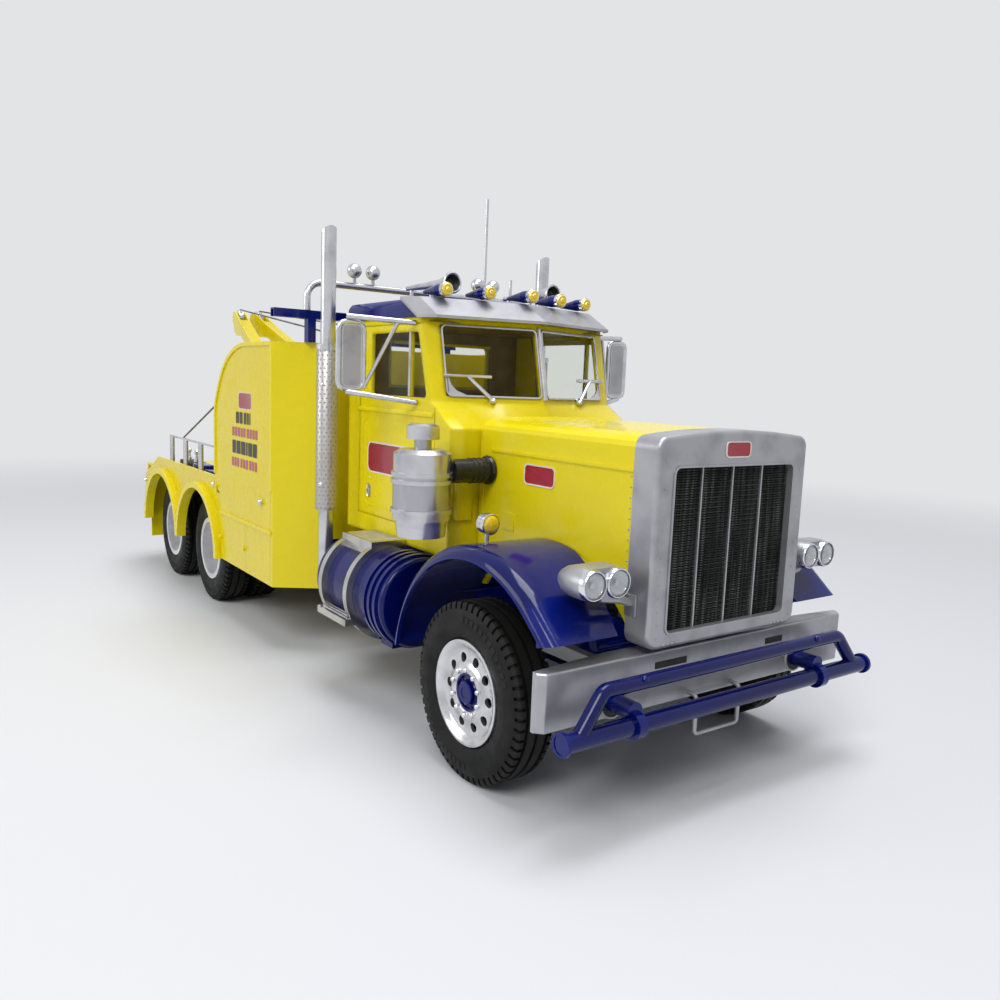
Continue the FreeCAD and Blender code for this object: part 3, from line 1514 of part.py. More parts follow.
def tail_board():
    low = tail_low
    wide = body_half_width - fine_edge - skin - running_gap
    plate = block(deck_rear_x - tail_plate, deck_rear_x, -wide, wide, low, tail_corner_z + skin)
    step = block(deck_rear_x - tail_plate, deck_rear_x + skin, -wide, wide, tail_corner_z,
                 deck_floor_z - skin)
    hooks = [block(deck_rear_x - (rear_reach + deck_rear_x), deck_rear_x, y - hitch_half / 2,
                   y + hitch_half / 2, low, low + hitch_half)
             for y in (-hitch_half * 2, hitch_half * 2)]
    export("tail_board", join([plate, step] + hooks))
    lamps = []
    for side in (-1, 1):
        for y in tail_lamp_y:
            z = (low + tail_corner_z) / 2
            lamps.append(rod(tail_lamp_radius, (deck_rear_x - tail_plate - skin, side * y, z),
                             (deck_rear_x - tail_plate, side * y, z)))
    export("tail_lamps", lamps)


def mud_flaps():
    flap = block(flap_x - flap_thickness, flap_x, -flap_outer, -flap_inner, flap_low,
                 deck_floor_z - skin - running_gap)
    export("mud_flaps", both(flap))


rack_inset = 2.2
rack_y = body_half_width - rack_inset
rack_top = 63.8
rack_posts_x = (-172.0, -193.5, -214.5, -235.0)
rack_post = 1.5
rack_rail = 0.9


def side_rails():
    pieces = []
    y = -rack_y
    for x in rack_posts_x:
        pieces.append(block(x - rack_post / 2, x + rack_post / 2, y - rack_rail / 2, y + rack_rail / 2,
                            deck_floor_z, rack_top - fine_edge))
    pieces.append(block(rack_posts_x[-1] - rack_post / 2, rack_posts_x[0] + rack_post / 2,
                        y - rack_rail / 2,
                        y + rack_rail / 2, rack_top - rack_rail, rack_top))
    export("side_rails", both(join(pieces)))


def cross_beam():
    x0, x1 = cross_beam_x - cross_beam_depth / 2, cross_beam_x + cross_beam_depth / 2
    wall = fine_edge
    outline = [(x1, cross_beam_low), (x1, cross_beam_top), (x0, cross_beam_top), (x0, cross_beam_low),
               (x0 + wall, cross_beam_low), (x0 + wall, cross_beam_top - wall),
               (x1 - wall, cross_beam_top - wall),
               (x1 - wall, cross_beam_low)]
    beam = side_plate(outline, -cross_beam_half, cross_beam_half)
    pieces = [beam]
    for side in (-1, 1):
        y = side * cross_post_y
        pieces.append(block(x0, x1, y - cross_post_width / 2, y + cross_post_width / 2, box_top,
                            cross_beam_top - wall))
    export("cross_beam", join(pieces))


hoop_x = -101.4
hoop_z = 120.9
hoop_half = 43.2
hoop_radius = 1.1
hoop_bend = 4.6
ball_places = (20.6, 27.2)
ball_radius = 2.4
ball_z = 125.8
hoop_post_y = 35.0
hoop_post_top = 129.0
antenna_y = 23.6
antenna_top = 155.6
antenna_radius = 0.55


def lamp_bar():
    foot = cross_beam_top
    hoop = bent_rod([(hoop_x, -hoop_half, foot), (hoop_x, -hoop_half, hoop_z),
                     (hoop_x, hoop_half, hoop_z),
                     (hoop_x, hoop_half, foot)], hoop_radius, hoop_bend)
    pieces = [hoop]
    for side in (-1, 1):
        for y in ball_places:
            pieces.append(Part.makeSphere(ball_radius, V(hoop_x, side * y, ball_z)))
            pieces.append(rod(stem_radius, (hoop_x, side * y, hoop_z), (hoop_x, side * y, ball_z)))
        pieces.append(rod(antenna_radius, (hoop_x, side * hoop_post_y, hoop_z),
                          (hoop_x, side * hoop_post_y, hoop_post_top)))
    pieces.append(rod(antenna_radius, (hoop_x, antenna_y, hoop_z), (hoop_x, antenna_y, antenna_top)))
    export("lamp_bar", join(pieces))


# Mast, winches and booms

mast_x = -126.0
mast_post = 4.4
mast_y = 22.0
mast_top = 107.0
mast_cap = 3.4
mast_foot = 7.0
mast_base = 2.0
mast_span = 26.5
pivot_radius = 1.3
pivot_low = 54.0
pivot_high = 60.0
pivot_x = -133.0
yoke_radius = 3.2
boom_foot_z = 58.0
boom_reach = 129.0
right_head_y = -9.5
left_head_y = -0.5
boom_head_z = 118.2
boom_foot_half = 2.8
boom_head_half = 2.6
boom_depth_foot = 6.4
boom_depth_head = 5.0
boom_belly = 2.6
cage_wall = 0.9
sheave_radius = 4.0
sheave_show = 0.9
sheave_width = 2.2
line_radius = 0.35
winch_x = -114.0
winch_radius = 4.2
winch_flange_radius = 6.6
winch_z = 58.0
winch_half = 7.5
winch_y = 14.0


def mast():
    pieces = []
    for side in (-1, 1):
        y = side * mast_y
        pieces.append(block(mast_x - mast_post / 2, mast_x + mast_post / 2, y - mast_post / 2,
                            y + mast_post / 2,
                            deck_floor_z + mast_base, mast_top - mast_cap))
        pieces.append(block(mast_x - mast_foot, mast_x + mast_foot, y - mast_foot / 2, y + mast_foot / 2,
                            deck_floor_z, deck_floor_z + mast_base))
        for z in (pivot_low, pivot_high):
            ear = block(pivot_x, mast_x, y - yoke_radius, y + yoke_radius, z - mast_base / 2,
                        z + mast_base / 2)
            nose = rod(yoke_radius, (pivot_x, y, z - mast_base / 2), (pivot_x, y, z + mast_base / 2))
            pieces += [ear, nose]
        pieces.append(rod(pivot_radius, (pivot_x, y, pivot_low - mast_base / 2),
                          (pivot_x, y, pivot_high + mast_base / 2)))
        ear = block(pivot_x, mast_x, y - pivot_radius, y + pivot_radius, mast_top - mast_base, mast_top)
        pieces += [ear, rod(pivot_radius, (pivot_x, y, mast_top - mast_base), (pivot_x, y, mast_top))]
    pieces.append(block(mast_x - mast_post / 2, mast_x + mast_post / 2, -mast_span, mast_span,
                        mast_top - mast_cap, mast_top))
    export("mast", join(pieces))


def winches():
    pieces = []
    for side in (-1, 1):
        y = side * winch_y
        drum = rod(winch_radius, (winch_x, y - winch_half, winch_z), (winch_x, y + winch_half, winch_z))
        cheeks = [rod(winch_flange_radius, (winch_x, y + way * winch_half, winch_z),
                      (winch_x, y + way * (winch_half - skin), winch_z)) for way in (-1, 1)]
        feet = [block(winch_x - winch_radius, winch_x + winch_radius, y + way * winch_half,
                      y + way * (winch_half - skin),
                      deck_floor_z, winch_z) for way in (-1, 1)]
        pieces.append(join([drum] + cheeks + feet))
    export("winches", pieces)


def boom_frame(side):
    foot = V(pivot_x, side * mast_y, boom_foot_z)
    head = V(pivot_x - boom_reach, left_head_y if side > 0 else right_head_y, boom_head_z)
    way = (head - foot).normalize()
    cross = V(0, 0, 1).cross(way).normalize()
    lift = way.cross(cross).normalize()
    return foot, head, way, cross, lift


def boom_section(centre, cross, lift, half, depth):
    points = [centre + cross * half - lift * (depth / 2), centre + cross * half + lift * (depth / 2),
              centre - cross * half + lift * (depth / 2), centre - cross * half - lift * (depth / 2)]
    return Part.makePolygon(points + points[:1])


def booms():
    for side, name in ((-1, "right"), (1, "left")):
        foot, head, way, cross, lift = boom_frame(side)
        yoke_low = pivot_low + mast_base / 2 + seat_gap
        yoke_high = pivot_high - mast_base / 2 - seat_gap
        start = foot + way * (yoke_radius + skin)
        beam = Part.makeLoft([boom_section(start, cross, lift, boom_foot_half, boom_depth_foot),
                              boom_section(head - way * sheave_radius * 2, cross, lift, boom_head_half,
                                           boom_depth_head)],
                             True, True)
        cheeks = []
        cheek_radius = sheave_radius - sheave_show
        for way_side in (-1, 1):
            outer = head + cross * (way_side * boom_head_half)
            inner = head + cross * (way_side * (boom_head_half - cage_wall))
            cheek = rod(cheek_radius, tuple(inner), tuple(outer))
            web_points = [inner + lift * cheek_radius, inner - lift * cheek_radius,
                          inner - way * cheek_radius - lift * (cheek_radius + boom_belly),
                          inner - way * (sheave_radius * 2) - lift * (cheek_radius + boom_belly),
                          inner - way * (sheave_radius * 4) - lift * (boom_depth_head / 2),
                          inner - way * (sheave_radius * 4) + lift * (boom_depth_head / 2)]
            web = Part.Face(Part.makePolygon(web_points + web_points[:1])).extrude(outer - inner)
            cheeks += [cheek, web]
        pin = rod(stem_radius, tuple(head - cross * boom_head_half), tuple(head + cross * boom_head_half))
        boss = rod(yoke_radius, (foot.x, foot.y, yoke_low), (foot.x, foot.y, yoke_high))
        neck = Part.makeLoft([boom_section(foot + way * pivot_radius, cross, V(0, 0, 1), boom_foot_half,
                                           yoke_high - yoke_low),
                              boom_section(start + way * skin, cross, V(0, 0, 1), boom_foot_half,
                                           yoke_high - yoke_low)],
                             True, True)
        neck_box = block(foot.x - overrun * 4, foot.x + overrun * 4, foot.y - overrun * 4,
                         foot.y + overrun * 4, yoke_low, yoke_high)
        bore = rod(pivot_radius + running_gap, (foot.x, foot.y, pivot_low - overrun),
                   (foot.x, foot.y, pivot_high + overrun))
        body = join([beam, boss, neck.common(neck_box), pin] + cheeks).cut(bore)
        export("boom_" + name, body)
        wheel = rod(sheave_radius, tuple(head - cross * (sheave_width / 2)),
                    tuple(head + cross * (sheave_width / 2)))
        wheel = wheel.cut(rod(stem_radius + running_gap, tuple(head - cross * sheave_width),
                              tuple(head + cross * sheave_width)))
        top = V(pivot_x, side * mast_y, mast_top + line_radius + running_gap)
        line = rod(line_radius, tuple(top), tuple(head + lift * (sheave_radius + line_radius)))
        export("boom_sheave_" + name, wheel)
        export("topping_line_" + name, line)


def main():
    os.makedirs("parts", exist_ok=True)
    front_wheels()
    rear_wheels()
    chassis_frame()
    engine()
    front_axle()
    knuckles()
    rear_axles()
    front_bumper()
    push_bumper()
    hood()
    grille_shell()
    grille()
    front_fenders()
    headlamps()
    cab_shell()
    cab_glass()
    cab_roof()
    cab_interior()
    sun_visor()
    marker_lamps()
    roof_horns()
    mirrors()
    wipers()
    exhausts()
    air_cleaners()
    intake_elbows()
    fuel_tanks()
    tank_steps()
    side_boxes()
    body_bulkhead()
    deck()
    rear_fenders()
    tail_board()
    mud_flaps()
    side_rails()
    cross_beam()
    lamp_bar()
    mast()
    winches()
    booms()


main()
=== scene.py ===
# Looks for the scale model tow truck: enamel, foil and rubber finishes, and the
# small trim that the plain solids leave out. Lengths in here are millimetres of
# the model, counted from the front axle, and piece() turns them to metres.
import math
import bmesh
import bpy
from mathutils import Matrix, Vector


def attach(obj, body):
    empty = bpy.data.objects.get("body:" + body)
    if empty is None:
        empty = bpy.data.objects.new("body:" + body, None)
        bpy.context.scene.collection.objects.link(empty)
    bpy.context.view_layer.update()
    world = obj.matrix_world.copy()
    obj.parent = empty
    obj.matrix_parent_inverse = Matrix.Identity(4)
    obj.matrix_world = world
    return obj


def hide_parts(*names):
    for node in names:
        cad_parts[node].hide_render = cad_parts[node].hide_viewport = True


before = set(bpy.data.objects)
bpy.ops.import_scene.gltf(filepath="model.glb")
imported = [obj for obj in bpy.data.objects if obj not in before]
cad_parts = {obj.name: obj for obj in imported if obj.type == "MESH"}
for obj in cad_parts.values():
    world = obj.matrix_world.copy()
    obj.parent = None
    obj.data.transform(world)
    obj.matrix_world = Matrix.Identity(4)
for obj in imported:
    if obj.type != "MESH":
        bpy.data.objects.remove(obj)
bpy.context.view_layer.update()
front_axle = 118.9
tau = 2 * math.pi

# The photo's camera, fitted to the wheels and the body lines.
lens_mm = 30.994
sensor_mm = 36.0
eye_mm = (157.5309, -153.4361, 91.6677)
look_right = (0.58177624, 0.81243815, 0.0384793)
look_down = (0.1309889, -0.04689733, -0.99027398)
look_ahead = (-0.80273178, 0.58115823, -0.13370414)

pale_grey = "#E3E4E6"
floor_half = 3.0
floor_blend = (0.24, 0.75)

# Measures that several pieces share: vertices closer than weld are merged, and a
# plate starts by skin above the face it lies on.
weld = 0.0005
skin = 0.02
wheel_y = 42.3
dual_ys = (41.6, 28.6)
mid_x, rear_x = -189.2, -242.0
axle_z = 21.1
shell_front = 34.6
hood_side = 24.1
cab_side = 32.6
body_side = 51.1
deck_top = 48.0
tail_x = -277.2
stack_x, stack_y = -90.6, 41.0
elbow_x, elbow_z = -26.2, 69.2
pod_y, pod_z, lamp_apart = 35.7, 52.3, 3.3
ahead, upward = (1, 0, 0), (0, 0, 1)
both = (-1, 1)
sides = ((-1, "right"), (1, "left"))


# Camera, floor and light

def place_camera():
    data = bpy.data.cameras.new("photo_camera")
    data.sensor_width = sensor_mm
    data.lens = lens_mm
    data.clip_start = 0.005
    camera = placed("photo_camera", data)
    turn = Matrix((look_right, -Vector(look_down), -Vector(look_ahead))).transposed().to_4x4()
    eye = Vector((eye_mm[0] + front_axle, eye_mm[1], eye_mm[2])) / 1000
    camera.matrix_world = Matrix.Translation(eye) @ turn
    bpy.context.scene.camera = camera


def linear(hexcode):
    values = [int(hexcode[i:i + 2], 16) / 255 for i in (1, 3, 5)]
    return tuple(v / 12.92 if v <= 0.04045 else ((v + 0.055) / 1.055) ** 2.4 for v in values) + (1.0,)


def add(tree, kind, sockets=None, **settings):
    node = tree.nodes.new(kind)
    for name, value in settings.items():
        setattr(node, name, value)
    for key, value in (sockets or {}).items():
        if isinstance(value, bpy.types.NodeSocket):
            tree.links.new(value, node.inputs[key])
        else:
            node.inputs[key].default_value = value
    return node


def reckon(tree, operation, *values, **settings):
    return add(tree, "ShaderNodeMath", dict(enumerate(values)), operation=operation, **settings).outputs[0]


def remap(tree, value, low, high, start=0.0, end=1.0, **settings):
    sockets = {"Value": value, "From Min": low, "From Max": high, "To Min": start, "To Max": end}
    return add(tree, "ShaderNodeMapRange", sockets, **settings).outputs[0]


def cloud(tree, place, scale, detail):
    return add(tree, "ShaderNodeTexNoise", {"Vector": place, "Scale": scale, "Detail": detail}).outputs[0]


def blend_shaders(tree, share, first, second):
    return add(tree, "ShaderNodeMixShader", {0: share, 1: first, 2: second}).outputs[0]


def new_material(name):
    material = bpy.data.materials.new(name)
    material.use_nodes = True
    tree = material.node_tree
    tree.nodes.clear()
    shader = add(tree, "ShaderNodeBsdfPrincipled")
    output = add(tree, "ShaderNodeOutputMaterial")
    tree.links.new(shader.outputs["BSDF"], output.inputs["Surface"])
    place = add(tree, "ShaderNodeTexCoord").outputs["Object"]
    return material, tree, shader, place


def as_mesh(bm, name):
    mesh = bpy.data.meshes.new(name)
    bm.to_mesh(mesh)
    bm.free()
    return mesh


def placed(name, data):
    made = bpy.data.objects.new(name, data)
    bpy.context.scene.collection.objects.link(made)
    return made


def light_panel(name, place, aim, size, watts, colour="#FFFFFF"):
    data = bpy.data.lights.new(name, "AREA")
    data.shape = "RECTANGLE"
    data.size, data.size_y = size
    data.energy = watts
    data.color = linear(colour)[:3]
    lamp = placed(name, data)
    lamp.location = place
    lamp.rotation_euler = (Vector(aim) - Vector(place)).to_track_quat("-Z", "Y").to_euler()


def pale_rays(tree):
    # One for a ray that sees the backdrop straight, in a gloss or through glass, and nought for light.
    path = add(tree, "ShaderNodeLightPath").outputs
    bounced = reckon(tree, "MAXIMUM", path["Is Glossy Ray"], path["Is Transmission Ray"])
    return reckon(tree, "MAXIMUM", path["Is Camera Ray"], bounced)


def set_world(scene):
    # A dim sky lights the model, and a pale grey one is what shows behind it.
    world = bpy.data.worlds.new("studio")
    scene.world = world
    world.use_nodes = True
    tree = world.node_tree
    tree.nodes.clear()
    seen = pale_rays(tree)
    dim = add(tree, "ShaderNodeBackground", {"Color": linear("#E4E6EA"), "Strength": 0.30}).outputs[0]
    pale = add(tree, "ShaderNodeBackground", {"Color": linear(pale_grey), "Strength": 1.0}).outputs[0]
    output = add(tree, "ShaderNodeOutputWorld")
    tree.links.new(blend_shaders(tree, seen, dim, pale), output.inputs["Surface"])


def set_floor():
    # Matt grey card with a fine grain near the model, which fades to the backdrop's own grey further out.
    bm = bmesh.new()
    bmesh.ops.create_grid(bm, x_segments=8, y_segments=8, size=floor_half)
    floor = placed("floor", as_mesh(bm, "floor"))
    material, tree, shader, place = new_material("pale_floor_card")
    shader.inputs["Base Color"].default_value = linear("#D6D7D9")
    grain = cloud(tree, place, 900.0, 3.0)
    tree.links.new(remap(tree, grain, 0.0, 1.0, 0.62, 0.66), shader.inputs["Roughness"])
    reach = add(tree, "ShaderNodeVectorMath", {0: place}, operation="LENGTH").outputs["Value"]
    far = remap(tree, reach, *floor_blend, interpolation_type="SMOOTHSTEP")
    share = reckon(tree, "MULTIPLY", far, pale_rays(tree))
    glow = add(tree, "ShaderNodeEmission", {"Color": linear(pale_grey), "Strength": 1.0}).outputs[0]
    output = [node for node in tree.nodes if node.type == "OUTPUT_MATERIAL"][0]
    tree.links.new(blend_shaders(tree, share, shader.outputs[0], glow), output.inputs["Surface"])
    floor.data.materials.append(material)


def set_stage():
    scene = bpy.context.scene
    scene.view_settings.view_transform = "Standard"
    set_world(scene)
    set_floor()
    light_panel("key_panel", (0.50, -0.60, 0.70), (0.02, 0.0, 0.05), (0.40, 0.40), 4.6)
    light_panel("top_panel", (0.10, 0.05, 0.85), (0.0, 0.0, 0.05), (0.60, 0.40), 5.4, "#F8FAFF")
    light_panel("side_panel", (-0.35, -0.8, 0.35), (-0.05, 0.0, 0.06), (0.5, 0.35), 1.7)


place_camera()
set_stage()


# Finishes

def blotch(tree, place, scale, low, high, detail=4.0):
    return remap(tree, cloud(tree, place, scale, detail), 0.35, 0.65, low, high)


def edge_share(tree, low, high):
    # Grows along raised edges, or in corners when low is above high.
    edge = add(tree, "ShaderNodeNewGeometry").outputs["Pointiness"]
    return remap(tree, edge, low, high)


def mixed(tree, share, first, second):
    return add(tree, "ShaderNodeMix", {0: share, 6: first, 7: second}, data_type="RGBA").outputs[2]


def tinted(tree, shader, share, first, second):
    tree.links.new(mixed(tree, share, linear(first), linear(second)), shader.inputs["Base Color"])


def relief(tree, shader, height, strength, depth):
    bump = add(tree, "ShaderNodeBump", {"Height": height, "Strength": strength, "Distance": depth})
    tree.links.new(bump.outputs[0], shader.inputs["Normal"])
    return bump


def enamel(name, colour, thin, rough=0.16, coat=0.6, round_mm=0.0):
    # Hobby enamel brushed and sprayed on styrene: gloss, a faint orange peel of about
    # 0.8 mm, a little thinner on the edges and with specks of dust under the coat.
    # Where round_mm is given, edges catch the light as under a thick coat of paint.
    material, tree, shader, place = new_material(name)
    share = reckon(tree, "MAXIMUM", edge_share(tree, 0.50, 0.56), blotch(tree, place, 60.0, 0.0, 0.45))
    tinted(tree, shader, share, colour, thin)
    tree.links.new(blotch(tree, place, 240.0, rough * 0.75, rough * 1.6), shader.inputs["Roughness"])
    shader.inputs["Specular IOR Level"].default_value = 0.25
    shader.inputs["Coat Weight"].default_value = coat
    shader.inputs["Coat Roughness"].default_value = 0.1
    peel = cloud(tree, place, 1200.0, 2.0)
    dust = add(tree, "ShaderNodeTexVoronoi", {"Vector": place, "Scale": 320.0}, feature="F1")
    speck = remap(tree, dust.outputs["Distance"], 0.0, 0.10, 1.0, 0.0)
    height = reckon(tree, "MULTIPLY_ADD", speck, 0.5, peel)
    bump = relief(tree, shader, height, 0.08, 0.00012)
    if round_mm:
        edge = add(tree, "ShaderNodeBevel", {"Radius": round_mm / 1000}, samples=4)
        tree.links.new(edge.outputs[0], bump.inputs["Normal"])
    return material


def silver_paint(name, colour, shade, rough, metal):
    # Aluminium hobby paint: fine flake, a soft cloudy brush mark, and darker in corners.
    material, tree, shader, place = new_material(name)
    stroke = cloud(tree, place, 150.0, 6.0)
    flake = add(tree, "ShaderNodeTexVoronoi", {"Vector": place, "Scale": 3500.0}).outputs["Color"]
    flake = add(tree, "ShaderNodeSeparateColor", {0: flake}).outputs[0]
    share = reckon(tree, "MAXIMUM", edge_share(tree, 0.50, 0.43), remap(tree, stroke, 0.45, 0.80))
    tinted(tree, shader, share, colour, shade)
    tree.links.new(remap(tree, stroke, 0.0, 1.0, rough * 0.75, rough * 1.3), shader.inputs["Roughness"])
    shader.inputs["Metallic"].default_value = metal
    relief(tree, shader, reckon(tree, "MULTIPLY_ADD", flake, 0.25, stroke), 0.12, 0.0001)
    return material


def tyre_vinyl(name):
    # Soft black vinyl: dull, greyer where it is handled, with a fine moulded grain.
    material, tree, shader, place = new_material(name)
    share = reckon(tree, "MAXIMUM", edge_share(tree, 0.51, 0.60), blotch(tree, place, 130.0, 0.0, 0.35))
    tinted(tree, shader, share, "#070707", "#1E1D1B")
    tree.links.new(blotch(tree, place, 300.0, 0.5, 0.66), shader.inputs["Roughness"])
    shader.inputs["Specular IOR Level"].default_value = 0.22
    relief(tree, shader, cloud(tree, place, 2500.0, 3.0), 0.2, 0.0001)
    return material


def lens_plastic(name):
    # Clear styrene: thin, glossy, with a trace of tint and faint moulding ripples.
    material, tree, shader, place = new_material(name)
    shader.inputs["Base Color"].default_value = linear("#E9ECEC")
    shader.inputs["Transmission Weight"].default_value = 0.9
    shader.inputs["IOR"].default_value = 1.49
    tree.links.new(blotch(tree, place, 120.0, 0.02, 0.072), shader.inputs["Roughness"])
    relief(tree, shader, cloud(tree, place, 90.0, 1.0), 0.04, 0.0002)
    return material


def window_pane(name):
    # The windscreen and door windows: a thin clear sheet, mostly see-through, wiped a little uneven.
    material, tree, shader, place = new_material(name)
    shader.inputs["Base Color"].default_value = linear("#F4F6F2")
    shader.inputs["Transmission Weight"].default_value = 1.0
    shader.inputs["IOR"].default_value = 1.12
    tree.links.new(blotch(tree, place, 90.0, 0.01, 0.05), shader.inputs["Roughness"])
    return material


def lamp_jewel(name, colour, shade):
    # A painted or clear coloured lens: bright, with small moulded flutes of 0.5 mm.
    material, tree, shader, place = new_material(name)
    cell = add(tree, "ShaderNodeTexVoronoi", {"Vector": place, "Scale": 1400.0}).outputs["Distance"]
    tinted(tree, shader, cell, colour, shade)
    shader.inputs["Roughness"].default_value = 0.14
    shader.inputs["Transmission Weight"].default_value = 0.08
    shader.inputs["Coat Weight"].default_value = 0.8
    relief(tree, shader, cell, 0.25, 0.0002)
    return material


def dull_styrene(name, colour, shade, rough=0.55):
    # Flat painted styrene inside the cab and under the frame: uneven in tone, with a fine grain.
    material, tree, shader, place = new_material(name)
    tinted(tree, shader, blotch(tree, place, 150.0, 0.0, 1.0), colour, shade)
    tree.links.new(blotch(tree, place, 400.0, rough * 0.85, rough * 1.1), shader.inputs["Roughness"])
    relief(tree, shader, cloud(tree, place, 1800.0, 3.0), 0.15, 0.0001)
    return material


def grille_mesh_paint(name):
    # Black mesh dry-brushed with silver: fine lines across it and worn patches on the bars.
    material, tree, shader, place = new_material(name)
    across = add(tree, "ShaderNodeTexWave", {"Vector": place, "Scale": 290.0, "Distortion": 0.0},
                 wave_type="BANDS", bands_direction="Z", wave_profile="SIN").outputs[1]
    edge = edge_share(tree, 0.50, 0.58)
    patch = blotch(tree, place, 170.0, 0.0, 1.0, 6.0)
    stretched = add(tree, "ShaderNodeMapping", {"Vector": place, "Scale": (300.0, 2200.0, 60.0)}).outputs[0]
    streak = remap(tree, cloud(tree, stretched, 1.0, 3.0), 0.48, 0.70)
    bars = reckon(tree, "MULTIPLY", reckon(tree, "MULTIPLY", across, patch), 0.35)
    brushed = reckon(tree, "MULTIPLY", edge, streak)
    share = reckon(tree, "ADD", brushed, bars, use_clamp=True)
    tinted(tree, shader, share, "#0B0C0B", "#5C5D5B")
    shader.inputs["Roughness"].default_value = 0.6
    shader.inputs["Specular IOR Level"].default_value = 0.25
    relief(tree, shader, across, 0.9, 0.0002)
    return material


guard_holes_round = 14
guard_row_mm = 1.3


def guard_sheet_paint(name):
    # Silver guard round each stack, drilled with small dark holes in staggered rows 1.3 mm apart.
    material, tree, shader, place = new_material(name)
    spot = add(tree, "ShaderNodeSeparateXYZ", {0: place}).outputs
    along = reckon(tree, "SUBTRACT", spot[0], (front_axle + stack_x) / 1000)
    side = reckon(tree, "SUBTRACT", reckon(tree, "ABSOLUTE", spot[1]), stack_y / 1000)
    turn = reckon(tree, "ARCTAN2", side, along)
    hole_count = reckon(tree, "MULTIPLY", turn, guard_holes_round / tau)
    row = reckon(tree, "MULTIPLY", spot[2], 1000 / guard_row_mm)
    shift = reckon(tree, "MULTIPLY_ADD", reckon(tree, "FLOOR", row), 0.5, hole_count)
    point = add(tree, "ShaderNodeCombineXYZ", {0: reckon(tree, "FRACT", shift),
                                               1: reckon(tree, "FRACT", row)}).outputs[0]
    middle = (0.5, 0.5, 0.0)
    gap = add(tree, "ShaderNodeVectorMath", {0: point, 1: middle}, operation="DISTANCE").outputs["Value"]
    hole = remap(tree, gap, 0.12, 0.22, 1.0, 0.0)
    shine = cloud(tree, place, 160.0, 5.0)
    sheet = mixed(tree, shine, linear("#BFBCBA"), linear("#A09D9A"))
    tree.links.new(mixed(tree, hole, sheet, linear("#7C7977")), shader.inputs["Base Color"])
    tree.links.new(remap(tree, shine, 0.0, 1.0, 0.28, 0.42), shader.inputs["Roughness"])
    shader.inputs["Metallic"].default_value = 0.7
    relief(tree, shader, hole, 0.5, 0.0002).invert = True
    return material


yellow_enamel = enamel("yellow_gloss_enamel", "#DDC900", "#E4D20E", 0.22, 0.2)
cab_enamel = enamel("yellow_thick_enamel", "#DDC900", "#E4D20E", 0.22, 0.2, 1.6)
blue_enamel = enamel("royal_blue_gloss_enamel", "#030B4A", "#061668", 0.10, 0.12)
red_enamel = enamel("red_badge_enamel", "#8E0F22", "#A01C30")
white_enamel = enamel("white_badge_enamel", "#D9CFC6", "#E2DAD2")
ink = dull_styrene("dark_decal_ink", "#1C1A10", "#2A2718", 0.4)
silver = silver_paint("aluminium_brushed_paint", "#ACACB0", "#929297", 0.40, 0.75)
pale_silver = silver_paint("bright_aluminium_paint", "#CFCFD3", "#ABABB1", 0.24, 0.9)
foil = silver_paint("chrome_foil", "#E2E2E6", "#BDBDC4", 0.14, 1.0)
step_silver = silver_paint("worn_step_paint", "#C6C4BE", "#9C9A94", 0.2, 0.95)
rim_silver = silver_paint("wheel_silver_paint", "#D8D8DA", "#A8A8AC", 0.2, 0.92)
rim_white = silver_paint("rear_wheel_paint", "#DEDEE0", "#B6B6BA", 0.3, 0.45)
vinyl = tyre_vinyl("black_tyre_vinyl")
guard_sheet = guard_sheet_paint("drilled_guard_paint")
hose = dull_styrene("satin_black_paint", "#0C0C0D", "#1C1C1E", 0.3)
mesh_paint = grille_mesh_paint("dry_brushed_mesh")
pane = window_pane("clear_window_sheet")
lens = lens_plastic("headlamp_lens_styrene")
amber = lamp_jewel("amber_lens_paint", "#FBE01E", "#E2B80E")
ruby = lamp_jewel("red_lens_paint", "#B01210", "#6E0606")
inside = dull_styrene("tan_cab_paint", "#9A8348", "#7C6838")
underside = dull_styrene("dark_engine_paint", "#2C3036", "#3A3F46", 0.45)
black = dull_styrene("flat_black_paint", "#0A0A0A", "#161616")
cable = silver_paint("twisted_steel_cable", "#6B6965", "#3B3936", 0.4, 0.8)

# A star in a node's name stands for left and for right.
node_finish = (
    (yellow_enamel, "body_bulkhead boom_* deck hood rear_fenders side_boxes tail_board mud_flaps"),
    (cab_enamel, "cab_shell"),
    (blue_enamel, "cab_roof chassis_frame cross_beam front_axle front_fenders fuel_tanks knuckle_*"),
    (blue_enamel, "marker_lamps mast push_bumper rear_axles tie_rod winches"),
    (silver, "front_bumper grille_shell sun_visor"),
    (pale_silver, "air_cleaners exhausts mirrors roof_horns wipers side_rails"),
    (pale_silver, "lamp_bar headlamp_pods turn_lamps"),
    (foil, "boom_sheave_*"),
    (step_silver, "tank_steps"),
    (rim_white, "front_rim_* mid_rims_* rear_rims_*"),
    (vinyl, "front_tyre_* mid_tyres_* rear_tyres_*"),
    (hose, "intake_elbows"),
    (mesh_paint, "grille"),
    (pane, "cab_glass"),
    (lens, "headlamp_lenses"),
    (ruby, "tail_lamps"),
    (inside, "cab_interior"),
    (underside, "engine"),
    (cable, "topping_line_*"),
)
for material, names in node_finish:
    for name in names.split():
        for node in sorted({name.replace("*", side) for side in ("left", "right")}):
            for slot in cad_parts[node].material_slots:
                slot.material = material


# Makers of shapes

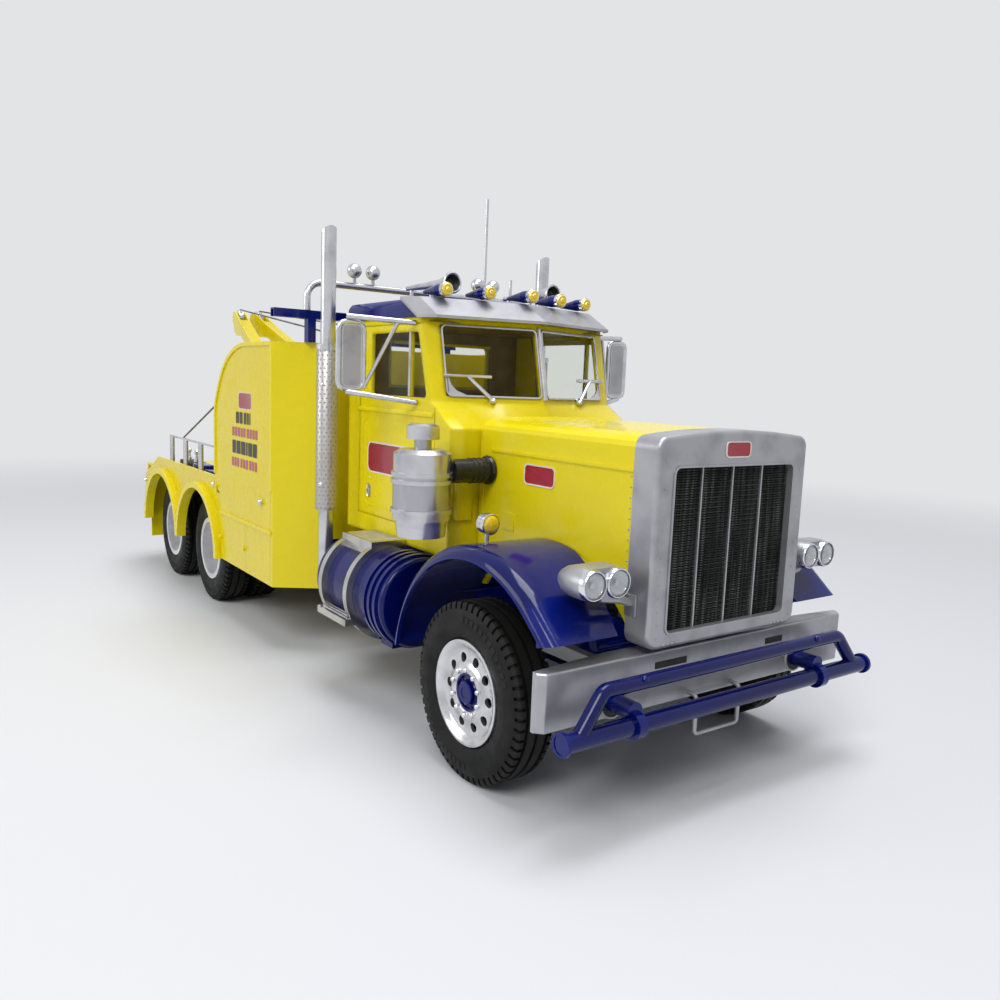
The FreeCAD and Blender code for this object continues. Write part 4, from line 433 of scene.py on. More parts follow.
def piece(name, bm, material, body="truck", replaced=(), sharp=35.0):
    bmesh.ops.remove_doubles(bm, verts=bm.verts, dist=weld)
    bmesh.ops.recalc_face_normals(bm, faces=bm.faces)
    bmesh.ops.translate(bm, verts=bm.verts, vec=(front_axle, 0, 0))
    bmesh.ops.scale(bm, verts=bm.verts, vec=(0.001, 0.001, 0.001))
    for face in bm.faces:
        face.smooth = True
    for edge in bm.edges:
        if len(edge.link_faces) == 2 and edge.calc_face_angle() > math.radians(sharp):
            edge.smooth = False
    mesh = as_mesh(bm, name)
    for one in material if isinstance(material, list) else [material]:
        mesh.materials.append(one)
    made = placed(name, mesh)
    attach(made, body)
    if replaced:
        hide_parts(*replaced)


def pour(bm, source, name):
    # Adds one mesh's shape to another.
    mesh = as_mesh(source, name)
    bm.from_mesh(mesh)
    bpy.data.meshes.remove(mesh)


def brick(bm, x0, x1, y0, y1, z0, z1, edge=0.0, rows=2):
    middle = Vector(((x0 + x1) / 2, (y0 + y1) / 2, (z0 + z1) / 2))
    size = Matrix.Diagonal((abs(x1 - x0), abs(y1 - y0), abs(z1 - z0), 1))
    verts = bmesh.ops.create_cube(bm, size=1, matrix=Matrix.Translation(middle) @ size)["verts"]
    if edge:
        edges = list({e for v in verts for e in v.link_edges})
        bmesh.ops.bevel(bm, geom=edges, offset=edge, segments=rows, profile=0.5, affect="EDGES", material=-1)


def lathe(bm, profile, origin, axis, steps=48):
    turn = Vector((0, 0, 1)).rotation_difference(Vector(axis)).to_matrix().to_4x4()
    place = Matrix.Translation(Vector(origin)) @ turn
    verts = [bm.verts.new(place @ Vector((r, 0, a))) for a, r in profile]
    edges = [bm.edges.new(pair) for pair in zip(verts, verts[1:])]
    old = set(bm.faces)
    bmesh.ops.spin(bm, geom=verts + edges, cent=Vector(origin), axis=Vector(axis), dvec=(0, 0, 0), angle=tau,
                   steps=steps, use_merge=True, use_duplicate=False)
    return [f for f in bm.faces if f not in old]


def move_new(bm, old, offset):
    bmesh.ops.translate(bm, verts=[v for v in bm.verts if v not in old], vec=offset)


def turned(bm, verts, angle, axis):
    bmesh.ops.rotate(bm, verts=verts, cent=(0, 0, 0), matrix=Matrix.Rotation(angle, 3, axis))


def tube(bm, points, radius, cyclic=False, rows=2):
    # A wire or pipe along straight runs.
    data = bpy.data.curves.new("run", "CURVE")
    data.dimensions = "3D"
    data.bevel_depth = radius
    data.bevel_resolution = rows
    data.use_fill_caps = True
    line = data.splines.new("POLY")
    line.points.add(len(points) - 1)
    for spot, point in zip(line.points, points):
        spot.co = (*point, 1)
    line.use_cyclic_u = cyclic
    holder = bpy.data.objects.new("run", data)
    mesh = bpy.data.meshes.new_from_object(holder)
    bm.from_mesh(mesh)
    bpy.data.objects.remove(holder)
    bpy.data.meshes.remove(mesh)
    bpy.data.curves.remove(data)


def card(bm, centre, across, up, radius, rows=5):
    # One flat face with rounded corners; across and up are its half sides.
    across, up = Vector(across), Vector(up)
    out = across.cross(up).normalized()
    place = Matrix((across, up, out)).transposed().to_4x4()
    old = set(bm.faces)
    verts = bmesh.ops.create_grid(bm, x_segments=1, y_segments=1, size=1,
                                  matrix=Matrix.Translation(Vector(centre)) @ place)["verts"]
    bmesh.ops.bevel(bm, geom=verts, offset=radius, segments=rows, profile=0.5, affect="VERTICES",
                    material=-1)
    return [f for f in bm.faces if f not in old][0], out


def raise_face(bm, faces, offset):
    made = bmesh.ops.extrude_face_region(bm, geom=faces)["geom"]
    bmesh.ops.translate(bm, verts=[g for g in made if isinstance(g, bmesh.types.BMVert)], vec=offset)
    return [g for g in made if isinstance(g, bmesh.types.BMFace)]


def plate(bm, centre, across, up, radius, thick, rim=0.0, sink=0.05, rows=5):
    # A thin plate with rounded corners; inside its rim the face is sunk and takes the second finish.
    face, out = card(bm, centre, across, up, radius, rows)
    top = raise_face(bm, [face], out * thick)
    if rim:
        bmesh.ops.inset_individual(bm, faces=top, thickness=rim, depth=-sink)
        for one in top:
            one.material_index = 1


def ring(bm, centre, across, up, radius, width, thick, rows=5):
    # A flat frame with rounded corners.
    face, out = card(bm, centre, across, up, radius, rows)
    band = bmesh.ops.inset_individual(bm, faces=[face], thickness=width)["faces"]
    bmesh.ops.delete(bm, geom=[face], context="FACES_ONLY")
    raise_face(bm, band, out * thick)


def dome(bm, centre, axis, radius, height, steps=12):
    lathe(bm, [(-0.1, 0), (-0.1, radius), (height * 0.45, radius * 0.93), (height * 0.85, radius * 0.6),
               (height, radius * 0.25), (height, 0)], centre, axis, steps)


def circle_points(radius, wire, rows=10):
    # The round section of a hoop, for lathe().
    turns = [tau * n / rows for n in range(rows + 1)]
    return [(wire * math.sin(turn), radius + wire * math.cos(turn)) for turn in turns]


# Tyres, hub caps and nuts

tyre_steps = 168
tyre_side = ((4.03, 11.56), (4.03, 12.5), (4.85, 12.75), (5.25, 13.7), (5.5, 15.2), (5.55, 15.5),
             (5.6, 16.0), (5.56, 16.4), (5.42, 17.9), (5.2, 19.1), (5.05, 19.3), (4.8, 20.5), (4.55, 20.9),
             (4.2, 21.08), (3.3, 21.1), (3.2, 20.45), (2.55, 20.45), (2.45, 21.1), (0.45, 21.1),
             (0.35, 20.45))
shoulder_radius = 19.3
slot_band, slot_every, slot_depth = (3.3, 5.1), 3, 0.5
pad_band, pad_side, pad_arc, pad_height = (16.4, 17.9), 5.3, (8, 45), 0.14
disc_profile = ((2.2, 0), (2.2, 4.35), (4.4, 4.45), (4.68, 4.8), (4.72, 5.8), (4.5, 6.4), (4.1, 7.0),
                (3.85, 8.0), (3.85, 9.2), (4.1, 10.1), (4.5, 10.7), (5.1, 11.3), (5.3, 11.85), (5.2, 12.3),
                (4.9, 12.42), (4.2, 12.4), (4.2, 11.45), (-4.2, 11.45), (-4.2, 12.4), (-5.1, 12.4),
                (-5.1, 10.6), (3.1, 10.3), (3.0, 9.2), (3.0, 7.8), (3.3, 6.4), (3.7, 5.3), (2.0, 4.5),
                (-3.6, 4.3), (-3.6, 1.7), (1.9, 1.7), (1.9, 0))
hand_holes, hand_hole_circle = 10, 8.05
wheel_nuts = 10
cap_bolts, cap_bolt_circle = 5, 3.6


def tyre_shape():
    # One moulded tyre round the origin: side ring, raised pads, shoulder slots and three grooves.
    bm = bmesh.new()
    profile = list(tyre_side) + [(-a, r) for a, r in reversed(tyre_side)]
    faces = lathe(bm, profile + profile[:1], (0, 0, 0), (0, 1, 0), tyre_steps)
    slots, pads = [], []
    for face in faces:
        spot = face.calc_center_median()
        out = math.hypot(spot.x, spot.z)
        turn = int((math.atan2(spot.z, spot.x) % tau) / tau * tyre_steps)
        wide = abs(spot.y)
        if out > shoulder_radius and slot_band[0] < wide < slot_band[1] and turn % slot_every == 0:
            slots.append(face)
        on_ring = pad_band[0] < out < pad_band[1] and wide > pad_side
        if on_ring and turn % slot_every and pad_arc[0] < turn % (tyre_steps // 2) < pad_arc[1]:
            pads.append(face)
    bmesh.ops.inset_region(bm, faces=slots, thickness=0.03, depth=-slot_depth, use_even_offset=True)
    bmesh.ops.inset_region(bm, faces=pads, thickness=0.06, depth=pad_height, use_even_offset=True)
    bmesh.ops.remove_doubles(bm, verts=bm.verts, dist=weld)
    return as_mesh(bm, "tyre_shape")


def drilled(bm, cutter):
    # The same solid with the holes of the cutter through it.
    makers = []
    for name, source in (("solid", bm), ("holes", cutter)):
        bmesh.ops.remove_doubles(source, verts=source.verts, dist=weld)
        bmesh.ops.recalc_face_normals(source, faces=source.faces)
        makers.append(placed(name, as_mesh(source, name)))
    cut = makers[0].modifiers.new("holes", "BOOLEAN")
    cut.operation, cut.solver, cut.object = "DIFFERENCE", "EXACT", makers[1]
    graph = bpy.context.evaluated_depsgraph_get()
    mesh = bpy.data.meshes.new_from_object(makers[0].evaluated_get(graph))
    result = bmesh.new()
    result.from_mesh(mesh)
    for maker in makers:
        bpy.data.objects.remove(maker)
    bpy.data.meshes.remove(mesh)
    return result


def on_circle(hub, radius, turn, way=0.0):
    return (hub[0] + radius * math.cos(turn), hub[1] + way, hub[2] + radius * math.sin(turn))


def front_disc(side, name):
    # The polished front wheel: rolled lip, shallow disc with hand holes and hub cup; a flat black cup behind
    # it is painted shade, so the hand holes show dark.
    spot, out = (0, side * wheel_y, axle_z), (0, side, 0)
    bm, cutter = bmesh.new(), bmesh.new()
    lathe(bm, disc_profile, spot, out, 96)
    for k in range(hand_holes):
        place = on_circle(spot, hand_hole_circle, tau * k / hand_holes)
        lathe(cutter, [(2.4, 0), (2.4, 1.15), (5.6, 1.15), (5.6, 0)], place, out, 20)
    piece("front_disc_" + name, drilled(bm, cutter), rim_silver, "front_wheel_" + name,
          ("front_rim_" + name,), 30.0)
    # Painted shade: a flat black cup behind the disc darkens what shows through the hand holes.
    hole_shade = bmesh.new()
    lathe(hole_shade, [(0.5, 4.6), (0.5, 9.9), (-3.0, 10.2), (-3.0, 4.6), (0.5, 4.6)], spot, out, 48)
    piece("front_hole_shade_" + name, hole_shade, black, "front_wheel_" + name)


def fit_wheels():
    shape = tyre_shape()
    for side, name in sides:
        for node, body, x, places in (("front_tyre_", "front_wheel_", 0, (wheel_y,)),
                                      ("mid_tyres_", "mid_wheels_", mid_x, dual_ys),
                                      ("rear_tyres_", "rear_wheels_", rear_x, dual_ys)):
            front = x == 0
            bm = bmesh.new()
            for y in places:
                old = set(bm.verts)
                bm.from_mesh(shape)
                move_new(bm, old, (x, side * y, axle_z))
            piece(node + name + "_moulded", bm, vinyl, body + name, (node + name,), 28.0)
            if front:
                front_disc(side, name)
            cap, nuts = bmesh.new(), bmesh.new()
            foot, tip, nut_seat, nut_circle = (2.2, 5.0, 4.65, 5.35) if front else (-3.2, -0.5, -3.2, 6.2)
            out = (0, side, 0)
            hub = (x, side * places[0], axle_z)
            cap_top = [(tip - 1.35, 2.95), (tip - 1.1, 2.75), (tip - 0.1, 2.7), (tip + 0.12, 2.45),
                       (tip + 0.14, 1.5), (tip - 0.1, 1.2), (tip - 0.15, 0)]
            if front:
                cap_foot = [(foot, 0), (foot, 4.33), (tip - 0.7, 4.33), (tip - 0.65, 4.0), (tip - 1.35, 3.8)]
            else:
                cap_foot = [(foot, 0), (foot, 5.15), (foot + 0.35, 4.9), (foot + 0.5, 4.5),
                            (tip - 1.7, 4.45), (tip - 1.35, 4.2)]
            lathe(cap, cap_foot + cap_top, hub, out, 40)
            for k in range(cap_bolts):
                spot = on_circle(hub, cap_bolt_circle, tau * k / cap_bolts, side * (tip - 1.35))
                dome(cap, spot, out, 0.42, 0.35, 8)
            piece(body + name + "_hub_cap", cap, blue_enamel, body + name)
            for k in range(wheel_nuts):
                spot = on_circle(hub, nut_circle, tau * (k + 0.5) / wheel_nuts, side * nut_seat)
                lathe(nuts, [(-0.1, 0), (-0.1, 0.8), (0.1, 0.8), (0.2, 0.68), (0.6, 0.62), (0.8, 0.45),
                             (0.9, 0.25), (0.9, 0)], spot, out, 12)
            piece(body + name + "_nuts", nuts, foil, body + name)


# Grille, shell trim and badges

mesh_half = 20.1
mesh_rows, mesh_pitch = 65, 0.555
crimp_step, crimp_depth = 2.0, 0.28
bar_gap, bar_thick = 0.6, 0.06


def fit_grille():
    # Corrugated strips one over another in front of a dark back, with three bars and a frame.
    bm = bmesh.new()
    brick(bm, 31.9, 32.3, -mesh_half, mesh_half, 39.9, 76.1)
    for row in range(mesh_rows):
        z = 40.1 + mesh_pitch * row
        old = set(bm.verts)
        place = Matrix.Translation((32.75, 0, z)) @ Matrix.Diagonal((0.3, mesh_half, 1, 1))
        bmesh.ops.create_grid(bm, x_segments=136, y_segments=1, size=1,
                              matrix=place @ Matrix.Rotation(math.pi / 2, 4, "Z"))
        fresh = [v for v in bm.verts if v not in old]
        for v in fresh:
            v.co.x += crimp_depth * math.cos(v.co.y / crimp_step * tau)
        bmesh.ops.solidify(bm, geom=[f for f in bm.faces if f.verts[0] in fresh], thickness=0.26)
    piece("grille_mesh", bm, mesh_paint, "front_end", ("grille",), 50.0)
    bm = bmesh.new()
    for y in (-10.0, 0.0, 10.0):
        brick(bm, 32.9, 33.6, y - 0.2, y + 0.2, 39.8, 76.2, 0.08, 1)
    ring(bm, (33.1, 0, 58.0), (0, 20.2, 0), (0, 0, 18.2), 1.9, 0.5, 1.75)
    piece("grille_bars", bm, silver, "front_end")
    bm = bmesh.new()
    for n in range(14):
        for y in (-22.5, 22.5):
            dome(bm, (shell_front, y, 39.5 + 2.9 * n), ahead, 0.26, 0.2, 8)
    for y in (-20.3, -18.9, -17.5, -16.1, 16.1, 17.5, 18.9, 20.3):
        dome(bm, (shell_front, y, 37.9), ahead, 0.36, 0.3, 8)
    for side in both:
        for n in range(12):
            dome(bm, (26.3, side * hood_side, 48.0 + 2.3 * n), (0, side, 0), 0.24, 0.18, 8)
    piece("shell_rivets", bm, [silver, yellow_enamel], "front_end")


def fit_badges():
    # Plain red plates with a pale border.
    front, flank = bmesh.new(), bmesh.new()
    plate(front, (shell_front + skin, -0.3, 79.4), (0, 4.1, 0), (0, 0, 1.8), 1.0, 0.28, 0.28)
    for side in both:
        plate(front, (-5.2, side * hood_side, 69.9), (side * -6.0, 0, 0), (0, 0, 2.6), 1.4, 0.22, 0.38)
        door = (-66.5, side * (cab_side + skin), 68.3)
        plate(flank, door, (side * -12.6, 0, 0), (0, 0, 4.7), 2.4, 0.12, 0.5, 0.03)
        box = (-135.4, side * body_side, 82.4)
        plate(flank, box, (side * -6.5, 0, 0), (0, 0, 2.9), 1.6, 0.1, 0.22, 0.03)
    piece("front_badges", front, [white_enamel, red_enamel], "front_end")
    piece("side_badges", flank, [white_enamel, red_enamel])


def fit_plain_bars():
    # Four rows of plain bars on each tool box.
    # A row: height, half the bars' height, start, the bars' lengths with 0 for a space, and finish.
    rows = ((76.4, 2.0, -144.6, (3.2, 3.0, 0, 2.6, 1.8, 1.0), ink),
            (71.4, 1.6, -148.6, (2.4, 2.2, 2.5, 1.9, 2.3, 0, 2.4, 2.0, 2.1, 2.2), red_enamel),
            (66.0, 2.3, -148.4, (3.6, 4.2, 4.4, 1.6, 3.8, 4.1), ink),
            (60.6, 1.6, -149.0, (2.2, 2.1, 2.2, 0, 2.1, 2.3, 2.1, 0, 2.2, 2.0, 2.2), red_enamel))
    for name, finish in (("dark_bars", ink), ("red_bars", red_enamel)):
        bm = bmesh.new()
        for side in both:
            for z, half_high, x, lengths, row_finish in rows:
                if row_finish != finish:
                    continue
                for length in lengths:
                    half = length / 2
                    if length:
                        plate(bm, (x + half, side * body_side, z), (side * -half, 0, 0), (0, 0, half_high),
                              0.4, bar_thick, rows=3)
                    x += length + bar_gap
        piece(name, bm, finish)


# Cab, hood and side trim

screen_x, screen_foot = -34.4, 86.4
screen_sweep, screen_lean = 8.2 / 29.2, 5.2 / 22.6
pane_in, pane_out, pane_low, pane_high = 0.7, 27.9, 87.7, 107.1
wiper_y, wiper_z, blade_z = 15.6, 86.9, 93.4


def screen_spot(side, y, z, out=0.0):
    # A spot on one half of the windscreen, which sweeps back to the side and leans back to the top.
    return Vector((screen_x - screen_sweep * y - screen_lean * (z - screen_foot) + out, side * y, z))


def fit_screen_trim():
    # Frames round both panes, the wipers and the door windows' posts.
    frames, sleeves, posts = (bmesh.new() for n in range(3))
    middle_y, middle_z = (pane_in + pane_out) / 2, (pane_low + pane_high) / 2
    for side in both:
        centre = screen_spot(side, middle_y, middle_z, 0.1)
        across = (screen_spot(side, pane_out, middle_z) - screen_spot(side, pane_in, middle_z)) / 2
        up = (screen_spot(side, middle_y, pane_high) - screen_spot(side, middle_y, pane_low)) / 2
        ring(frames, centre, across * side, up, 1.5, 0.45, 0.45)
        face = frames.faces.new([frames.verts.new(screen_spot(side, y, z, 0.15)) for y, z in
                                 ((27.4, 88.2), (27.3, 93.4), (26.5, 90.9), (25.2, 89.4), (22.6, 88.3))])
        raise_face(frames, [face], (0.4, 0, 0))
        for low, high, y, radius in ((blade_z, blade_z, 28.8, 0.5), (wiper_z, blade_z, 22.2, 0.55)):
            tube(sleeves, [screen_spot(side, wiper_y, low, 1.25), screen_spot(side, y, high, 1.25)], radius)
        dome(sleeves, screen_spot(side, wiper_y, wiper_z, 0.2), ahead, 1.0, 1.8, 12)
        brick(posts, -55.0, -54.0, side * 32.55, side * 32.95, 87.2, 105.0, 0.15, 1)
    tube(frames, [screen_spot(1, 0, 87.4, 0.35), screen_spot(1, 0, 107.6, 0.35)], 0.6)
    piece("screen_frame", frames, pale_silver)
    piece("wiper_sleeves", sleeves, pale_silver, replaced=("wipers",))
    piece("vent_posts", posts, pale_silver)


def fit_door_trim():
    # Beads round the doors and on the hood, and the door handles.
    beads, handles, hood_beads = (bmesh.new() for n in range(3))
    for side in both:
        out, hood_out = side * cab_side, side * hood_side
        brick(beads, -86.0, -41.5, out - side * 0.2, out + side * 0.45, 81.9, 83.3, 0.3, 3)
        ring(beads, (-62.6, out - side * 0.02, 67.0), (side * -20.2, 0, 0), (0, 0, 13.6), 4.2, 0.45, 0.16)
        brick(beads, -32.0, -30.0, side * 26.8, side * 31.6, 55.5, 66.0, 0.3)
        brick(beads, -41.0, -40.3, out - side * 0.3, out + side * 0.2, 51.0, 79.0, 0.1, 1)
        centre = (-78.0, out + side * skin, 57.9)
        plate(handles, centre, (side * -1.25, 0, 0), (0, 0, 2.1), 1.1, 0.22, 0.3, 0.18)
        brick(handles, -78.9, -77.1, side * 32.75, side * 33.05, 57.3, 58.5, 0.12)
        dome(handles, (-77.6, out, 61.9), (0, side, 0), 0.4, 0.25, 10)
        plate(hood_beads, (-17.2, hood_out, 57.0), (side * -2.5, 0, 0), (0, 0, 2.2), 0.4, 0.25)
        brick(hood_beads, -29.4, -28.6, hood_out - side * 0.1, hood_out + side * 0.18, 44.0, 79.0, 0.1, 1)
    piece("cab_beads", beads, yellow_enamel)
    piece("door_handles", handles, [pale_silver, silver])
    piece("hood_side_beads", hood_beads, yellow_enamel, "front_end")


def fit_lamps():
    # Rims and amber domes of the roof lamps and the turn lamps.
    bezels, jewels = bmesh.new(), bmesh.new()
    for x, y in ((-48.4, 25.2), (-45.2, 12.8), (-42.2, 0.0), (-45.2, -12.8), (-48.4, -25.2)):
        spot = (x, y, 116.8)
        lathe(bezels, [(-0.9, 1.86), (-0.9, 2.0), (0.25, 2.02), (0.35, 1.95), (0.3, 1.84), (-0.1, 1.82),
                       (-0.1, 1.86), (-0.9, 1.86)], spot, ahead, 28)
        lathe(jewels, [(-0.05, 0), (-0.05, 1.84), (0.4, 1.8), (0.9, 1.4), (0.8, 0.8), (1.1, 0.5), (1.1, 0)],
              spot, ahead, 12)
    for side in both:
        spot = (-6.7, side * 37.0, 58.6)
        lathe(bezels, [(-0.5, 2.42), (-0.5, 2.6), (0.2, 2.6), (0.35, 2.35), (0.0, 2.2), (-0.1, 2.42),
                       (-0.5, 2.42)], spot, ahead, 32)
        lathe(jewels, [(-0.02, 0), (-0.02, 2.15), (0.4, 2.1), (0.85, 1.5), (1.05, 0.6), (1.1, 0)], spot,
              ahead, 32)
    piece("lamp_bezels", bezels, foil)
    piece("lamp_jewels", jewels, amber, sharp=20.0)


def fit_headlamps():
    # One rounded pod round each pair of lamps, on a bent arm, with rims, bowls and glass.
    pods, rims, bowls, glass = (bmesh.new() for n in range(4))
    for side in both:
        lamp_ys = (side * pod_y - lamp_apart, side * pod_y + lamp_apart)
        hull = bmesh.new()
        for y in lamp_ys:
            lathe(hull, [(0, 0), (0, 3.2), (-0.9, 3.42), (-4.0, 3.42), (-6.6, 2.9), (-8.3, 1.9), (-9.1, 0.8),
                         (-9.2, 0)], (31.7, y, pod_z), ahead, 32)
        shell = bmesh.new()
        for vert in hull.verts:
            shell.verts.new(vert.co)
        hull.free()
        extra = bmesh.ops.convex_hull(shell, input=shell.verts)["geom_interior"]
        bmesh.ops.delete(shell, geom=[g for g in extra if isinstance(g, bmesh.types.BMVert)],
                         context="VERTS")
        pour(pods, shell, "pod_hull")
        tube(pods, [(28.6, side * pod_y, 50.5), (28.6, side * 33.2, 48.2), (28.8, side * 28.6, 47.6),
                    (29.2, side * 24.9, 46.4)], 0.95, rows=3)
        brick(pods, 27.6, 31.0, side * 24.95, side * 25.5, 43.6, 48.4, 0.25)
        for y in lamp_ys:
            spot = (32.6, y, pod_z)
            lathe(rims, [(-0.92, 2.9), (0.2, 2.78), (0.5, 2.85), (0.55, 3.02), (0.3, 3.22), (-0.92, 3.3),
                         (-0.92, 2.9)], spot, ahead, 40)
            lathe(bowls, [(-0.9, 0), (-0.9, 2.86), (-0.3, 2.86), (-0.5, 2.2), (-0.68, 1.3), (-0.72, 0.75),
                          (-0.4, 0.65), (-0.25, 0.3), (-0.25, 0)], spot, ahead, 32)
            lathe(glass, [(-0.2, 0), (-0.2, 2.8), (0.05, 2.78), (0.3, 2.3), (0.45, 1.6), (0.55, 0.8),
                          (0.58, 0)], spot, ahead, 40)
    piece("headlamp_shells", pods, silver, "front_end", ("headlamp_pods",))
    piece("headlamp_rims", rims, foil, "front_end")
    piece("headlamp_bowls", bowls, foil, "front_end")
    piece("headlamp_glass", glass, lens, "front_end", ("headlamp_lenses",))


def fit_horns():
    # A flat black bell in each horn, painted shade for its dark mouth, and a bright rim round the mouth.
    bm, rims = bmesh.new(), bmesh.new()
    for side in both:
        mouth = (-56.0, side * 18.5, 119.8)
        lathe(bm, [(-6.3, 0), (-6.3, 0.72), (-2.08, 1.56), (-0.2, 2.3), (-0.6, 2.0), (-1.6, 1.2), (-1.9, 0)],
              mouth, ahead, 36)
        lathe(rims, circle_points(2.75, 0.3), mouth, ahead, 40)
    piece("horn_mouth_shade", bm, black)
    piece("horn_rims", rims, foil)


def fit_stack_guards():
    # Drilled guards round the stacks, their bolts, and the cuffs of the intake elbows.
    guards, bolts, cuffs = (bmesh.new() for n in range(3))
    for side in both:
        lathe(guards, [(50.9, 3.15), (50.75, 3.32), (50.95, 3.42), (51.6, 3.34), (99.4, 3.34), (99.7, 3.15),
                       (50.9, 3.15)], (stack_x, side * stack_y, 0), upward, 48)
        for z in (89.3, 58.8):
            out = Vector((0.55, side * 0.83, 0))
            dome(bolts, Vector((stack_x, side * stack_y, z)) + out * 3.2, out, 0.75, 0.6, 12)
        lathe(cuffs, [(0.05, 3.1), (0.05, 3.75), (0.5, 3.85), (1.1, 3.6), (1.3, 3.12), (0.05, 3.1)],
              (elbow_x, side * 24.5, elbow_z), (0, side, 0), 40)
        for n in range(3):
            lathe(cuffs, [(0, 3.1), (0.12, 3.32), (0.5, 3.32), (0.62, 3.1), (0, 3.1)],
                  (elbow_x, side * (27.2 + 1.5 * n), elbow_z), (0, side, 0), 40)
    piece("stack_guards", guards, guard_sheet)
    piece("stack_bolts", bolts, foil)
    piece("elbow_cuffs", cuffs, hose)


def fit_tank_tread():
    bm = bmesh.new()
    for side in both:
        for n in range(7):
            brick(bm, -71.0, -55.5, side * (34.0 + 1.35 * n), side * (34.45 + 1.35 * n), 46.4, 46.72, 0.1, 1)
        for n in range(4):
            brick(bm, -71.0, -55.5, side * (46.4 + 1.2 * n), side * (46.8 + 1.2 * n), 25.2, 25.55, 0.1, 1)
    piece("step_tread", bm, foil)


# Tool boxes, deck, tail and front end

tread_pitch = 3.6
body_knobs = ((-118.5, 51.9, 49.6, 1.15), (-171.0, 50.9, 49.5, 1.1), (-274.6, 50.9, 39.6, 1.0),
              (-274.7, 50.9, 23.4, 0.9))
rope_turns, rope_pitch = 18, 0.7
mirror_y, mirror_z = 48.8, 97.7


def fit_body_hardware():
    # Knobs, stays, rails and what stands on the deck.
    knobs, stays, posts, blocks, boxes, caps = (bmesh.new() for n in range(6))
    for side in both:
        for x, y, z, radius in body_knobs:
            dome(knobs, (x, side * y, z), (0, side, 0), radius, 0.9, 16)
        tube(stays, [(-164.7, side * 46.0, 85.7), (-221.0, side * 48.0, 63.5)], 0.35)
        y = side * 48.9
        for x in (-172.0, -193.5, -214.5, -235.0):
            brick(posts, x - 2.1, x + 2.1, y - 0.5, y + 0.5, deck_top + skin, 63.4, 0.15)
        brick(posts, -237.1, -169.9, y - 0.45, y + 0.45, 63.0, 63.8, 0.15)
        brick(blocks, -215.0, -203.0, side * 40.0, side * 46.0, deck_top, 53.2, 0.4, 3)
        brick(blocks, -198.0, -186.0, side * 40.0, side * 46.0, deck_top, 52.4, 0.4, 3)
        brick(boxes, -236.0, -218.0, side * 39.0, side * 45.5, deck_top, 53.0, 0.5, 3)
        for x in (-232.5, -222.0):
            lathe(caps, [(53.0, 0), (53.0, 1.3), (54.2, 1.2), (54.4, 0.6), (56.2, 0.5), (56.6, 1.0),
                         (57.6, 1.1), (58.2, 0.7), (58.3, 0)], (x, side * 42.2, 0), upward, 20)
    piece("body_knobs", knobs, foil)
    piece("body_stays", stays, cable)
    piece("rail_posts", posts, pale_silver, replaced=("side_rails",))
    piece("deck_blocks", blocks, blue_enamel)
    piece("deck_boxes", boxes, black)
    piece("deck_knobs", caps, foil)


def fit_tail_trim():
    # Lamp rims, a row of rivets and a blank plate.
    rims, rivets = bmesh.new(), bmesh.new()
    for side in both:
        for y in (44.0, 38.5):
            lathe(rims, [(0, 1.72), (0, 2.25), (0.35, 2.2), (0.55, 1.9), (0.5, 1.72), (0, 1.72)],
                  (tail_x, side * y, 36.2), (-1, 0, 0), 28)
    for n in range(25):
        dome(rivets, (tail_x, -46.8 + 3.9 * n, 41.6), (-1, 0, 0), 0.32, 0.25, 8)
    plate(rims, (tail_x, 0, 36.4), (0, -4.2, 0), (0, 0, 2.4), 0.5, 0.3, 0.35)
    piece("tail_rims", rims, [foil, white_enamel])
    piece("tail_rivets", rivets, yellow_enamel)


def fit_deck_tread():
    # Short raised bars in a herringbone, as on chequer plate.
    bar = bmesh.new()
    brick(bar, -0.9, 0.9, -0.2, 0.2, 0.0, 0.16, 0.05, 1)
    turned(bar, bar.verts, math.pi / 4, "Z")
    mesh = as_mesh(bar, "tread_bar")
    bm = bmesh.new()
    for row in range(23):
        for col in range(20):
            old = set(bm.verts)
            bm.from_mesh(mesh)
            fresh = [v for v in bm.verts if v not in old]
            if (row + col) % 2:
                turned(bm, fresh, math.pi / 2, "Z")
            spot = (-179.0 - tread_pitch * row, -34.2 + tread_pitch * col, 48.38)
            bmesh.ops.translate(bm, verts=fresh, vec=spot)
    piece("deck_tread", bm, yellow_enamel)


def fit_front_hardware():
    # Slots and rings in the bumper, and collars on the push bar. The slots and the gaps round the tow holes
    # are flat black sheets on the bumper's face, painted shade where the openings show dark.
    slots, rings, collars = (bmesh.new() for n in range(3))
    # Painted shade: thin black sheets stand for the dark openings of the slots.
    for y0, y1 in ((-19.0, -8.9), (18.8, 25.4)):
        brick(slots, 31.3, 31.72, y0, y1, 31.4, 33.0, 0.1, 1)
    for side in both:
        hole = (31.6, side * 31.0, 26.4)
        # Painted shade: a thin black ring stands for the dark gap round each tow hole.
        lathe(slots, [(0.04, 2.12), (0.04, 3.3), (0.12, 3.3), (0.12, 2.12), (0.04, 2.12)], hole, ahead, 40)
        lathe(rings, [(0.0, 3.2), (0.0, 3.75), (0.35, 3.6), (0.35, 3.3), (0.12, 3.2), (0.0, 3.2)], hole,
              ahead, 40)
        dome(collars, (38.9, side * 29.2, 33.3), (0.75, 0, 0.66), 0.8, 0.6, 12)
        lathe(collars, [(-0.4, 2.0), (-0.4, 2.55), (0.4, 2.55), (0.4, 2.0), (-0.4, 2.0)],
              (38.3, side * 50.3, 23.6), (0, side, 0), 28)
    piece("bumper_rings", rings, silver)
    piece("bumper_slot_shade", slots, black)
    piece("push_bar_collars", collars, blue_enamel)


